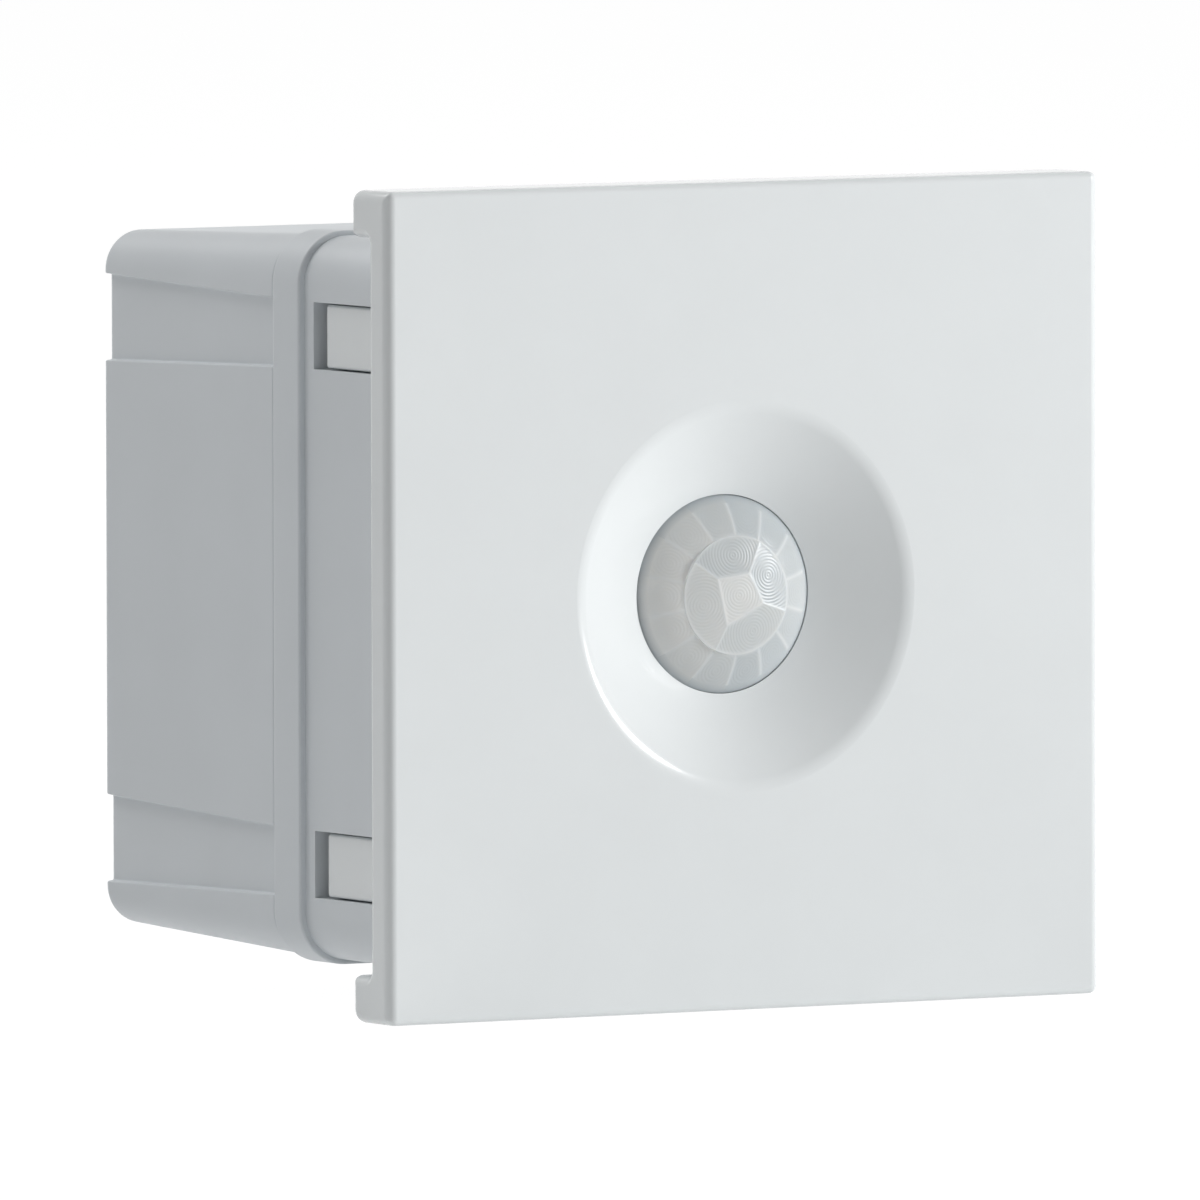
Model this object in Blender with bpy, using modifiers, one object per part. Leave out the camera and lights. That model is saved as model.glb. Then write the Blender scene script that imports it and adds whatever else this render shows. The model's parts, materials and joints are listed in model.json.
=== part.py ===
"""Flush-mounted 50 mm modular motion sensor, modelled in Blender.

Frame: metres, +Z up. The origin is on the lens axis, in the plane of the fascia's back.
The front of the sensor faces -Y, and +Y runs into the wall.
"""
import math

import bmesh
import bpy
from mathutils import Matrix, Vector

MM = 0.001

# ---- fits shared by every piece ----
GAP = 0.30 * MM              # between pieces that touch or sit beside each other
RUN_GAP = 0.10 * MM          # round a turning shaft
REACH = 1.0 * MM             # how far a cutter runs past the face it opens, or a joined piece sinks in

# ---- fascia ----
FASCIA_SIZE = 50.0 * MM      # width and height of the front plate
PLATE_THICK = 2.4 * MM
LIP_HEIGHT = 2.85 * MM       # height of the top and bottom return lips
LIP_DEPTH = 2.04 * MM        # how far the lips reach behind the plate
FASCIA_EDGE = 0.4 * MM       # rounding of the front edges
RECESS_RADIUS = 11.5 * MM    # conical recess where it meets the front plane
RECESS_DEPTH = 2.8 * MM
RIM_RADIUS = 3.0 * MM        # rounding between the front plane and the cone
LENS_PLAY = 0.2 * MM         # round the lens in the hole at the bottom of the recess
FUNNEL_WALL = 1.2 * MM
FUNNEL_LENGTH = 1.2 * MM     # straight length of the hole below the cone

# ---- body: neck, collar and tapered rear shell ----
SIDE_INSET = 0.75 * MM       # collar's side inside the fascia's side
COLLAR_STEP_X = 0.40 * MM    # how far the collar stands proud of the neck
COLLAR_STEP_Z = 0.30 * MM
SHELL_STEP = 0.30 * MM       # how far the collar stands proud of the rear shell
COLLAR_FRONT = 9.5 * MM      # distance behind the fascia's back
COLLAR_WIDTH = 3.07 * MM
BODY_DEPTH = 35.4 * MM       # rear face behind the fascia's back
SIDE_DRAFT = math.radians(1.9)
TOP_DRAFT = math.radians(1.75)
CORNER_RADIUS = 2.9 * MM
REAR_ROUND = 0.8 * MM
NECK_WALL = 1.2 * MM
FRONT_WALL = 1.2 * MM
REAR_WALL = 1.8 * MM
COVER_WALL = 1.85 * MM       # side wall of the rear shell at its rear end

# ---- raised side panels, with recesses above and below ----
PANEL_FRONT = 13.88 * MM     # half height of the panel at the collar
PANEL_REAR = 13.23 * MM      # half height of the panel at the rear
RECESS_TOP_FRONT = 18.04 * MM
RECESS_TOP_REAR = 18.59 * MM
PANEL_STEP = 0.43 * MM

# ---- clip windows in the neck, and the fascia's clip arms ----
WINDOW_Z = 15.93 * MM        # centre height
WINDOW_HEIGHT = 4.05 * MM
WINDOW_SETBACK = 1.15 * MM   # solid neck between a window and the collar
ARM_SLIT = 1.5 * MM          # dark gap left behind an arm's end
ARM_THICK = 1.25 * MM
ARM_INSET = 0.5 * MM         # arm's face below the neck's face

# ---- case screws ----
SCREW_RADIUS = 1.1 * MM
SCREW_HEAD_RADIUS = 1.9 * MM
SCREW_HEAD_THICK = 1.8 * MM
SCREW_WELL = 2.3 * MM        # depth of a screw head below the rear face
POST_WALL = 0.8 * MM
SCREW_TIP = 7.0 * MM         # where the screws end, behind the fascia's back
SLOT_WIDTH = 0.6 * MM
SLOT_DEPTH = 0.8 * MM

# ---- lens and the sensor behind it ----
LENS_RADIUS = 6.0 * MM
LENS_APEX = -1.6 * MM        # foremost point of the dome
LENS_CAP_RADIUS = 3.6 * MM   # flatter middle of the dome
LENS_CAP_DROP = 0.5 * MM
LENS_DOME_DEPTH = 2.5 * MM   # from the apex to where the straight side starts
LENS_WALL = 0.6 * MM
LENS_FLANGE_WIDTH = 2.0 * MM
LENS_FLANGE_THICK = 0.8 * MM
HOLDER_THICK = 1.2 * MM
HOLDER_WIDTH = 3.4 * MM
HOLDER_LEG_RADIUS = 0.8 * MM
HOLDER_LEGS = 3
CAN_RADIUS = 4.15 * MM
CAN_HEIGHT = 3.9 * MM
CAN_WALL = 0.25 * MM
CAN_FLANGE_RADIUS = 4.55 * MM
CAN_FLANGE_THICK = 0.4 * MM
WINDOW_PANE = (4.6 * MM, 0.4 * MM, 3.6 * MM)
WINDOW_OPENING = (4.0 * MM, 3.0 * MM)
SENSOR_PINS = 3
SENSOR_PIN_CIRCLE = 2.54 * MM
SENSOR_PIN_RADIUS = 0.23 * MM
CHIP_SENSOR = (2.0 * MM, 0.8 * MM, 1.3 * MM)
CHIP_OFFSET = 6.5 * MM

# ---- boards ----
BOARD_THICK = 1.2 * MM
POWER_BOARD_THICK = 1.6 * MM
CONTROL_BOARD_Y = 8.9 * MM   # front face of the control board
POWER_BOARD_Y = 14.0 * MM    # front face of the power board
CONTROL_HALF_Z = 13.9 * MM
LEDGE_DEPTH = 0.8 * MM       # overlap of a board on its ledges
LEDGE_HALF_Z = 5.0 * MM
HEADER_Z = 11.0 * MM
HEADER_PITCH = 2.54 * MM
HEADER_PINS = 4
HEADER_PIN_RADIUS = 0.32 * MM
PIN_TAIL = 0.8 * MM          # pin length past the far face of a board

# ---- adjusters ----
DIAL_X = 13.5 * MM
DIAL_Z = -8.5 * MM
DIAL_RADIUS = 2.5 * MM
DIAL_FRONT = 2.2 * MM
DIAL_THICK = 3.1 * MM
DIAL_SHAFT_RADIUS = 1.0 * MM
TRIMMER_SIZE = 6.4 * MM
TRIMMER_THICK = 3.0 * MM

# ---- terminals: X is across the poles, the screws face the rear ----
POLES = 3
POLE_PITCH = 8.0 * MM
TERMINAL_SCREW_Z = -15.45 * MM
CHAMBER_HALF_X = 3.0 * MM
CHAMBER_BELOW = 2.55 * MM    # chamber below the screw's axis
CHAMBER_ABOVE = 4.05 * MM
TERMINAL_WALL = 1.0 * MM
TERMINAL_SCREW_RADIUS = 1.5 * MM
TERMINAL_HEAD_RADIUS = 2.0 * MM
TERMINAL_HEAD_THICK = 1.6 * MM
HEAD_INSET = 0.9 * MM        # head's outer face below the block's rear face
CLAMP_TRAVEL = 2.0 * MM
CLAMP_WALL = 0.8 * MM
CLAMP_NUT = 1.4 * MM         # threaded wall of the clamp
WIRE_SPACE = 3.2 * MM        # clear height for the wire
WIRE_WIDTH = 3.4 * MM
CONTACT_THICK = 1.0 * MM
CONTACT_HALF_X = 1.6 * MM
CONTACT_LEG_HALF_X = 1.0 * MM

# ---- round sections ----
FINE = 64
ROUND = 24
SMALL = 12

# ---- places worked out from the sizes above ----
HALF = FASCIA_SIZE / 2
PLATE_FRONT = -PLATE_THICK
LENS_HOLE = LENS_RADIUS + LENS_PLAY
LENS_FLANGE_RADIUS = LENS_RADIUS + LENS_FLANGE_WIDTH
HOLDER_RADIUS = LENS_RADIUS + HOLDER_WIDTH
COLLAR_HALF_X = HALF - SIDE_INSET
COLLAR_HALF_Z = HALF - LIP_HEIGHT
NECK_HALF_X = COLLAR_HALF_X - COLLAR_STEP_X
NECK_HALF_Z = COLLAR_HALF_Z - COLLAR_STEP_Z
COLLAR_REAR = COLLAR_FRONT + COLLAR_WIDTH
COVER_FRONT = COLLAR_REAR + GAP
TONGUE_FRONT = CONTROL_BOARD_Y + BOARD_THICK + GAP   # the shell's tongue holds the control board
NECK_FRONT = GAP
NECK_IN_X = NECK_HALF_X - NECK_WALL
NECK_IN_Z = NECK_HALF_Z - NECK_WALL
HOLE_BOTTOM = PLATE_FRONT + RECESS_DEPTH + FUNNEL_LENGTH
FRONT_WALL_Y = HOLE_BOTTOM + GAP
WALL_BACK = FRONT_WALL_Y + FRONT_WALL
SHELL_HALF_X = COLLAR_HALF_X - SHELL_STEP
SHELL_HALF_Z = COLLAR_HALF_Z - SHELL_STEP
COVER_LENGTH = BODY_DEPTH - COVER_FRONT
REAR_HALF_X = SHELL_HALF_X - COVER_LENGTH * math.tan(SIDE_DRAFT)
REAR_HALF_Z = SHELL_HALF_Z - COVER_LENGTH * math.tan(TOP_DRAFT)
CAVITY_X = min(REAR_HALF_X - COVER_WALL, NECK_IN_X - GAP - POST_WALL)
CAVITY_Z = min(REAR_HALF_Z - COVER_WALL, NECK_IN_Z - GAP - POST_WALL)
REAR_WALL_Y = BODY_DEPTH - REAR_WALL
ARM_END = COLLAR_FRONT - WINDOW_SETBACK - ARM_SLIT
ARM_OUT = NECK_HALF_X - ARM_INSET
ARM_IN = ARM_OUT - ARM_THICK
LENS_FLANGE_Y = WALL_BACK + GAP
HOLDER_Y = LENS_FLANGE_Y + LENS_FLANGE_THICK + GAP
SENSOR_BASE_Y = CONTROL_BOARD_Y - GAP
CONTROL_HALF_X = NECK_IN_X - 4 * GAP
POWER_HALF_X = CAVITY_X - GAP
POWER_HALF_Z = CAVITY_Z - GAP
CONTROL_BACK = CONTROL_BOARD_Y + BOARD_THICK
POWER_BACK = POWER_BOARD_Y + POWER_BOARD_THICK
PART_BASE = POWER_BACK + GAP
PILOT_RADIUS = SCREW_RADIUS + RUN_GAP
THROUGH_RADIUS = SCREW_RADIUS + GAP
WELL_RADIUS = SCREW_HEAD_RADIUS + GAP
SCREW_X = CAVITY_X - PILOT_RADIUS - POST_WALL - GAP
SCREW_Z = CAVITY_Z - PILOT_RADIUS - POST_WALL - GAP
POST_END = COVER_FRONT
COVER_POST_START = POST_END + GAP
HEAD_SEAT = BODY_DEPTH - SCREW_WELL - SCREW_HEAD_THICK
CHAMBER_LOW = TERMINAL_SCREW_Z - CHAMBER_BELOW
CHAMBER_HIGH = TERMINAL_SCREW_Z + CHAMBER_ABOVE
BLOCK_LOW = CHAMBER_LOW - TERMINAL_WALL
BLOCK_HIGH = CHAMBER_HIGH + TERMINAL_WALL
BLOCK_REAR = REAR_WALL_Y - GAP
HEAD_OUT = BLOCK_REAR - HEAD_INSET
HEAD_IN = HEAD_OUT - TERMINAL_HEAD_THICK
CHAMBER_END = HEAD_IN - GAP
CLAMP_TOP = CHAMBER_END - GAP - CLAMP_TRAVEL
HEAD_HOLE = TERMINAL_HEAD_RADIUS + GAP
CONTACT_OUT = CLAMP_TOP - CLAMP_NUT - CLAMP_TRAVEL - 2 * GAP
CONTACT_IN = CONTACT_OUT - CONTACT_THICK
CLAMP_FLOOR = CONTACT_IN - WIRE_SPACE
POLE_X = [(i - (POLES - 1) / 2) * POLE_PITCH for i in range(POLES)]
SCREW_PLACES = [(sx * SCREW_X, sz * SCREW_Z) for sx in (-1, 1) for sz in (-1, 1)]
SIDES = [(sx, sz) for sx in (-1, 1) for sz in (-1, 1)]


def clear_scene():
    for obj in list(bpy.data.objects):
        bpy.data.objects.remove(obj, do_unlink=True)
    for group in list(bpy.data.collections):
        bpy.data.collections.remove(group)


def new_collection(name):
    group = bpy.data.collections.new(name)
    bpy.context.scene.collection.children.link(group)
    return group


clear_scene()
PARTS = new_collection("motion_sensor")
CUTTERS = new_collection("cutters")


def material(name, colour, roughness, metallic=0.0):
    """Principled material; colour is linear RGB."""
    mat = bpy.data.materials.get(name) or bpy.data.materials.new(name)
    mat.use_nodes = True
    shader = mat.node_tree.nodes["Principled BSDF"]
    shader.inputs["Base Color"].default_value = (*colour, 1.0)
    shader.inputs["Roughness"].default_value = roughness
    shader.inputs["Metallic"].default_value = metallic
    return mat


def add_object(name, mesh, mat=None):
    """Puts a mesh among the parts, or among the cutters when it has no material."""
    obj = bpy.data.objects.new(name, mesh)
    if mat is None:
        CUTTERS.objects.link(obj)
        obj.hide_render = True
        obj.display_type = "WIRE"
    else:
        PARTS.objects.link(obj)
        mesh.materials.append(mat)
    return obj


def to_mesh(name, bm, origin=(0, 0, 0)):
    bmesh.ops.recalc_face_normals(bm, faces=bm.faces)
    bmesh.ops.translate(bm, verts=bm.verts, vec=-Vector(origin))
    mesh = bpy.data.meshes.new(name)
    bm.to_mesh(mesh)
    bm.free()
    return mesh


def smooth(obj, angle=35):
    obj.data.shade_smooth()
    obj.data.set_sharp_from_angle(angle=math.radians(angle))


def wedge(name, front, rear, y_front, y_rear, mat=None, corner=0.0, rear_round=0.0, front_round=0.0):
    """Block between two rectangles (x low, x high, z low, z high), one at each Y.

    corner rounds the four long edges; rear_round and front_round soften the end outlines.
    """
    bm = bmesh.new()
    bmesh.ops.create_cube(bm, size=2.0)
    for v in bm.verts:
        x_low, x_high, z_low, z_high = front if v.co.y < 0 else rear
        v.co = Vector((x_low if v.co.x < 0 else x_high,
                       y_front if v.co.y < 0 else y_rear,
                       z_low if v.co.z < 0 else z_high))
    if corner > 0:
        long_edges = [e for e in bm.edges if abs(e.verts[0].co.y - e.verts[1].co.y) > REACH / 2]
        bmesh.ops.bevel(bm, geom=long_edges, offset=corner, segments=4, profile=0.5, affect="EDGES")
    for size, y in ((rear_round, y_rear), (front_round, y_front)):
        if size > 0:
            rim = [e for e in bm.edges if all(abs(v.co.y - y) < 1e-6 for v in e.verts)]
            bmesh.ops.bevel(bm, geom=rim, offset=size, segments=2, profile=0.5, affect="EDGES")
    obj = add_object(name, to_mesh(name, bm), mat)
    if corner > 0:
        smooth(obj)
    return obj


def block(name, x, y, z, mat=None, **rounding):
    """Straight block spanning three (low, high) pairs."""
    face = (x[0], x[1], z[0], z[1])
    return wedge(name, face, face, y[0], y[1], mat, **rounding)


def centred(half_x, half_z):
    return (-half_x, half_x, -half_z, half_z)


def rod(name, radius, y, x=0.0, z=0.0, mat=None, sides=ROUND):
    """Cylinder along Y, with its origin on its own axis."""
    bm = bmesh.new()
    turn = Matrix.Rotation(math.pi / 2, 4, "X")
    bmesh.ops.create_cone(bm, cap_ends=True, segments=sides, radius1=radius, radius2=radius,
                          depth=y[1] - y[0], matrix=turn)
    obj = add_object(name, to_mesh(name, bm), mat)
    obj.location = (x, (y[0] + y[1]) / 2, z)
    smooth(obj)
    return obj


def turned(name, profile, mat=None, x=0.0, z=0.0, steps=ROUND, closed=False):
    """Solid turned about a line along Y from (radius, y) points.

    The points start at the front, and run down the outer side towards the rear.
    """
    mesh = bpy.data.meshes.new(name)
    count = len(profile)
    edges = [(i, i + 1) for i in range(count - 1)]
    if closed:
        edges.append((count - 1, 0))
    mesh.from_pydata([(radius, 0.0, -y) for radius, y in profile], edges, [])
    obj = add_object(name, mesh, mat)
    obj.rotation_euler = (math.pi / 2, 0.0, 0.0)
    obj.location = (x, 0.0, z)
    screw = obj.modifiers.new("Turn", "SCREW")
    screw.axis = "Z"
    screw.steps = steps
    screw.render_steps = steps
    screw.use_merge_vertices = True
    screw.merge_threshold = 0.000001
    screw.use_smooth_shade = True
    return obj


def combine(target, tool, operation):
    """Boolean on the target; the tool joins the cutters when it isn't one already."""
    step = target.modifiers.new(operation.title() + " " + tool.name, "BOOLEAN")
    step.operation = operation
    step.solver = "EXACT"
    step.object = tool


def cut(target, tool):
    combine(target, tool, "DIFFERENCE")


def join(target, tool):
    combine(target, tool, "UNION")


def arc_points(centre, radius, start, end, count):
    """(radius, y) points along an arc; angles in radians."""
    angles = [start + (end - start) * i / count for i in range(count + 1)]
    return [(centre[0] + radius * math.cos(a), centre[1] + radius * math.sin(a)) for a in angles]


def recess_profile():
    """The hole's outline: soft rim, cone and straight hole."""
    slope = math.atan2(RECESS_DEPTH, RECESS_RADIUS - LENS_HOLE)
    tangent = RIM_RADIUS * math.tan(slope / 2)
    front = PLATE_FRONT - 0.01 * MM
    rim = arc_points((RECESS_RADIUS + tangent, front + RIM_RADIUS), RIM_RADIUS,
                     -math.pi / 2, -math.pi / 2 - slope, 5)
    top = PLATE_FRONT - REACH
    bottom = HOLE_BOTTOM + REACH
    cone_end = (LENS_HOLE, PLATE_FRONT + RECESS_DEPTH)
    start = [(0.0, top), (RECESS_RADIUS + tangent, top)]
    return start + rim + [cone_end, (LENS_HOLE, bottom), (0.0, bottom)]


def make_fascia(mat):
    """Front plate with return lips, lens funnel and four clip arms."""
    obj = block("fascia", (-HALF, HALF), (PLATE_FRONT, LIP_DEPTH), (-HALF, HALF), mat,
                front_round=FASCIA_EDGE)
    inner = HALF - LIP_HEIGHT
    cut(obj, block("fascia_back_cut", (-HALF - REACH, HALF + REACH), (0.0, LIP_DEPTH + REACH),
                   (-inner, inner)))
    funnel = [(0.0, PLATE_FRONT / 2), (LENS_HOLE + 3 * FUNNEL_WALL, PLATE_FRONT / 2),
              (LENS_HOLE + 2.5 * FUNNEL_WALL, 0.0), (LENS_HOLE + FUNNEL_WALL, HOLE_BOTTOM - FUNNEL_WALL),
              (LENS_HOLE + FUNNEL_WALL, HOLE_BOTTOM), (0.0, HOLE_BOTTOM)]
    join(obj, turned("fascia_funnel", funnel, steps=FINE))
    arm_half = WINDOW_HEIGHT / 2 - GAP
    for i, (sx, sz) in enumerate(SIDES):
        x = sorted((sx * ARM_IN, sx * ARM_OUT))
        z = sorted((sz * WINDOW_Z - arm_half, sz * WINDOW_Z + arm_half))
        join(obj, block(f"fascia_arm_{i}", x, (PLATE_FRONT / 2, ARM_END), z))
    cut(obj, turned("fascia_recess_cut", recess_profile(), steps=FINE))
    return obj


def make_body_frame(mat):
    """Neck and collar, with the wall that carries the lens and the adjuster holes."""
    collar = centred(COLLAR_HALF_X, COLLAR_HALF_Z)
    obj = wedge("body_frame", collar, collar, COLLAR_FRONT, COLLAR_REAR, mat,
                corner=CORNER_RADIUS + COLLAR_STEP_Z)
    neck = centred(NECK_HALF_X, NECK_HALF_Z)
    join(obj, wedge("frame_neck", neck, neck, NECK_FRONT, COLLAR_FRONT + REACH, corner=CORNER_RADIUS))
    inner = centred(NECK_IN_X, NECK_IN_Z)
    corner = CORNER_RADIUS - NECK_WALL
    cut(obj, wedge("frame_front_cut", inner, inner, NECK_FRONT - REACH, FRONT_WALL_Y, corner=corner))
    cut(obj, wedge("frame_back_cut", inner, inner, WALL_BACK, COLLAR_REAR + REACH, corner=corner))
    for i, (x, z) in enumerate(SCREW_PLACES):
        post = (WALL_BACK - REACH / 2, POST_END)
        pilot = (SCREW_TIP - REACH, POST_END + REACH)
        join(obj, rod(f"frame_post_{i}", PILOT_RADIUS + POST_WALL, post, x, z))
        cut(obj, rod(f"frame_pilot_{i}", PILOT_RADIUS, pilot, x, z, sides=SMALL))
    for sx in (-1, 1):
        x = sorted((sx * (CONTROL_HALF_X - LEDGE_DEPTH), sx * (NECK_IN_X + NECK_WALL / 2)))
        join(obj, block(f"frame_ledge_{sx + 1}", x, (WALL_BACK - REACH / 2, CONTROL_BOARD_Y - GAP),
                        (-LEDGE_HALF_Z, LEDGE_HALF_Z)))
        cut(obj, rod(f"frame_dial_hole_{sx + 1}", DIAL_RADIUS + GAP,
                     (FRONT_WALL_Y - REACH, WALL_BACK + REACH), sx * DIAL_X, DIAL_Z))
    through = (FRONT_WALL_Y - REACH, WALL_BACK + REACH)
    cut(obj, rod("frame_lens_hole", LENS_RADIUS + GAP, through, sides=FINE))
    half = WINDOW_HEIGHT / 2
    for i, (sx, sz) in enumerate(SIDES):
        x = sorted((sx * (ARM_IN - GAP), sx * (NECK_HALF_X + REACH)))
        z = sorted((sz * WINDOW_Z - half, sz * WINDOW_Z + half))
        cut(obj, block(f"frame_window_{i}", x, (NECK_FRONT - REACH, COLLAR_FRONT - WINDOW_SETBACK), z))
    return obj


def shell_side(y):
    """Half width of the rear shell at a distance behind the fascia's back."""
    return SHELL_HALF_X - (y - COVER_FRONT) * math.tan(SIDE_DRAFT)


def between(front, rear, y):
    return front + (rear - front) * (y - COVER_FRONT) / COVER_LENGTH


def make_side_recesses(obj):
    """Shallow tapered recesses above and below the raised panel on both sides."""
    y_front = COVER_FRONT - REACH
    y_rear = BODY_DEPTH + REACH
    for i, (sx, sz) in enumerate(SIDES):
        ends = []
        for y in (y_front, y_rear):
            x = sorted((sx * (shell_side(y) - PANEL_STEP), sx * (shell_side(y) + REACH)))
            z = sorted((sz * between(PANEL_FRONT, PANEL_REAR, y),
                        sz * between(RECESS_TOP_FRONT, RECESS_TOP_REAR, y)))
            ends.append((*x, *z))
        cut(obj, wedge(f"cover_recess_{i}", ends[0], ends[1], y_front, y_rear))


def make_rear_cover(mat):
    """Tapered rear shell with tongue, screw posts, board ribs and terminal openings."""
    obj = wedge("rear_cover", centred(SHELL_HALF_X, SHELL_HALF_Z), centred(REAR_HALF_X, REAR_HALF_Z),
                COVER_FRONT, BODY_DEPTH, mat, corner=CORNER_RADIUS, rear_round=REAR_ROUND)
    tongue = centred(NECK_IN_X - GAP, NECK_IN_Z - GAP)
    corner = CORNER_RADIUS - NECK_WALL
    join(obj, wedge("cover_tongue", tongue, tongue, TONGUE_FRONT, COVER_FRONT + REACH,
                    corner=corner))
    cavity = centred(CAVITY_X, CAVITY_Z)
    cut(obj, wedge("cover_cavity", cavity, cavity, TONGUE_FRONT - REACH, REAR_WALL_Y,
                   corner=corner - RUN_GAP))
    make_side_recesses(obj)
    for i, (x, z) in enumerate(SCREW_PLACES):
        post = (COVER_POST_START, BODY_DEPTH - REAR_WALL / 2)
        hole = (COVER_POST_START - REACH, HEAD_SEAT)
        join(obj, rod(f"cover_post_{i}", WELL_RADIUS + POST_WALL, post, x, z))
        cut(obj, rod(f"cover_hole_{i}", THROUGH_RADIUS, hole, x, z, sides=SMALL))
        cut(obj, rod(f"cover_well_{i}", WELL_RADIUS, (HEAD_SEAT - GAP, BODY_DEPTH + REACH), x, z))
    for sx in (-1, 1):
        x = sorted((sx * (POWER_HALF_X - LEDGE_DEPTH), sx * (CAVITY_X + REACH / 2)))
        join(obj, block(f"cover_rib_{sx + 1}", x, (PART_BASE, BODY_DEPTH - REAR_WALL / 2),
                        (-LEDGE_HALF_Z, LEDGE_HALF_Z)))
    for i, x in enumerate(POLE_X):
        cut(obj, rod(f"cover_driver_hole_{i}", HEAD_HOLE, (REAR_WALL_Y - REACH, BODY_DEPTH + REACH),
                     x, TERMINAL_SCREW_Z))
        cut(obj, block(f"cover_wire_hole_{i}", (x - WIRE_WIDTH / 2, x + WIRE_WIDTH / 2),
                       (CLAMP_FLOOR, CONTACT_IN), (-SHELL_HALF_Z - REACH, -CAVITY_Z + REACH)))
    return obj


def make_case_screw(index, x, z, mat):
    """Pan-head screw; it enters from the rear and bites into the frame's post."""
    profile = [(0.0, SCREW_TIP), (SCREW_RADIUS / 2, SCREW_TIP), (SCREW_RADIUS, SCREW_TIP + SCREW_RADIUS),
               (SCREW_RADIUS, HEAD_SEAT), (SCREW_HEAD_RADIUS, HEAD_SEAT),
               (SCREW_HEAD_RADIUS, HEAD_SEAT + SCREW_HEAD_THICK * 0.7),
               (SCREW_HEAD_RADIUS * 0.8, HEAD_SEAT + SCREW_HEAD_THICK), (0.0, HEAD_SEAT + SCREW_HEAD_THICK)]
    obj = turned(f"case_screw_{index}", profile, mat, x, z, steps=SMALL)
    length = SCREW_HEAD_RADIUS * 0.65
    head_top = HEAD_SEAT + SCREW_HEAD_THICK
    for half_x, half_z in ((length, SLOT_WIDTH / 2), (SLOT_WIDTH / 2, length)):
        cut(obj, block(f"case_slot_{index}_{half_x > half_z}", (x - half_x, x + half_x),
                       (head_top - SLOT_DEPTH, head_top + REACH), (z - half_z, z + half_z)))
    return obj


def lens_profile():
    """Dome with a flatter middle, straight side and seating flange, open at the back."""
    shoulder = LENS_APEX + LENS_CAP_DROP
    side = LENS_APEX + LENS_DOME_DEPTH
    flange_back = LENS_FLANGE_Y + LENS_FLANGE_THICK
    outer = [(0.0, LENS_APEX), (LENS_CAP_RADIUS * 0.55, LENS_APEX + LENS_CAP_DROP * 0.25),
             (LENS_CAP_RADIUS, shoulder),
             (LENS_RADIUS * 0.82, shoulder + LENS_DOME_DEPTH * 0.27), (LENS_RADIUS, side),
             (LENS_RADIUS, LENS_FLANGE_Y), (LENS_FLANGE_RADIUS, LENS_FLANGE_Y),
             (LENS_FLANGE_RADIUS, flange_back)]
    inner = [(LENS_RADIUS - LENS_WALL, flange_back), (LENS_RADIUS - LENS_WALL, side),
             (LENS_CAP_RADIUS, shoulder + LENS_WALL * 1.3), (0.0, LENS_APEX + LENS_WALL)]
    return outer + inner


def make_lens_holder(mat):
    """Ring that presses the lens flange to the frame's wall and stands on the control board."""
    back = HOLDER_Y + HOLDER_THICK
    ring = [(HOLDER_RADIUS, HOLDER_Y), (HOLDER_RADIUS, back), (LENS_RADIUS, back), (LENS_RADIUS, HOLDER_Y)]
    obj = turned("lens_retaining_ring", ring, mat, steps=ROUND, closed=True)
    circle = (LENS_RADIUS + HOLDER_RADIUS) / 2
    for i in range(HOLDER_LEGS):
        a = math.pi / 2 + i * 2 * math.pi / HOLDER_LEGS
        leg = (HOLDER_Y + HOLDER_THICK / 2, CONTROL_BOARD_Y - GAP)
        join(obj, rod(f"ring_leg_{i}", HOLDER_LEG_RADIUS, leg, circle * math.cos(a), circle * math.sin(a),
                      sides=SMALL))
    return obj


def make_sensor_can(mat):
    """Metal cap with a rectangular window and a base flange."""
    front = SENSOR_BASE_Y - CAN_HEIGHT
    inside = CAN_RADIUS - CAN_WALL
    profile = [(0.0, front), (CAN_RADIUS, front), (CAN_RADIUS, SENSOR_BASE_Y - CAN_FLANGE_THICK),
               (CAN_FLANGE_RADIUS, SENSOR_BASE_Y - CAN_FLANGE_THICK), (CAN_FLANGE_RADIUS, SENSOR_BASE_Y),
               (inside, SENSOR_BASE_Y), (inside, front + CAN_WALL), (0.0, front + CAN_WALL)]
    obj = turned("pir_sensor_can", profile, mat, steps=ROUND)
    half_x = WINDOW_OPENING[0] / 2
    half_z = WINDOW_OPENING[1] / 2
    cut(obj, block("can_window_cut", (-half_x, half_x), (front - REACH, front + REACH), (-half_z, half_z)))
    return obj


def make_sensor_window(mat):
    """Infrared filter pane just behind the can's window."""
    front = SENSOR_BASE_Y - CAN_HEIGHT + CAN_WALL + GAP
    return block("pir_sensor_window", (-WINDOW_PANE[0] / 2, WINDOW_PANE[0] / 2),
                 (front, front + WINDOW_PANE[1]), (-WINDOW_PANE[2] / 2, WINDOW_PANE[2] / 2), mat)


def sensor_pin_places():
    angles = [math.pi / 2 + i * 2 * math.pi / SENSOR_PINS for i in range(SENSOR_PINS)]
    return [(SENSOR_PIN_CIRCLE * math.cos(a), SENSOR_PIN_CIRCLE * math.sin(a)) for a in angles]


def make_sensor_header(mat):
    """Sensor base inside the can, with pins through the control board."""
    radius = CAN_RADIUS - CAN_WALL - GAP
    obj = rod("pir_sensor_header", radius, (SENSOR_BASE_Y - 3 * CAN_FLANGE_THICK, SENSOR_BASE_Y), mat=mat)
    for i, (x, z) in enumerate(sensor_pin_places()):
        join(obj, rod(f"sensor_pin_{i}", SENSOR_PIN_RADIUS,
                      (SENSOR_BASE_Y - CAN_FLANGE_THICK, CONTROL_BACK + PIN_TAIL), x, z, sides=8))
    return obj


def header_pin_places():
    return [((i - (HEADER_PINS - 1) / 2) * HEADER_PITCH, HEADER_Z) for i in range(HEADER_PINS)]


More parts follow.
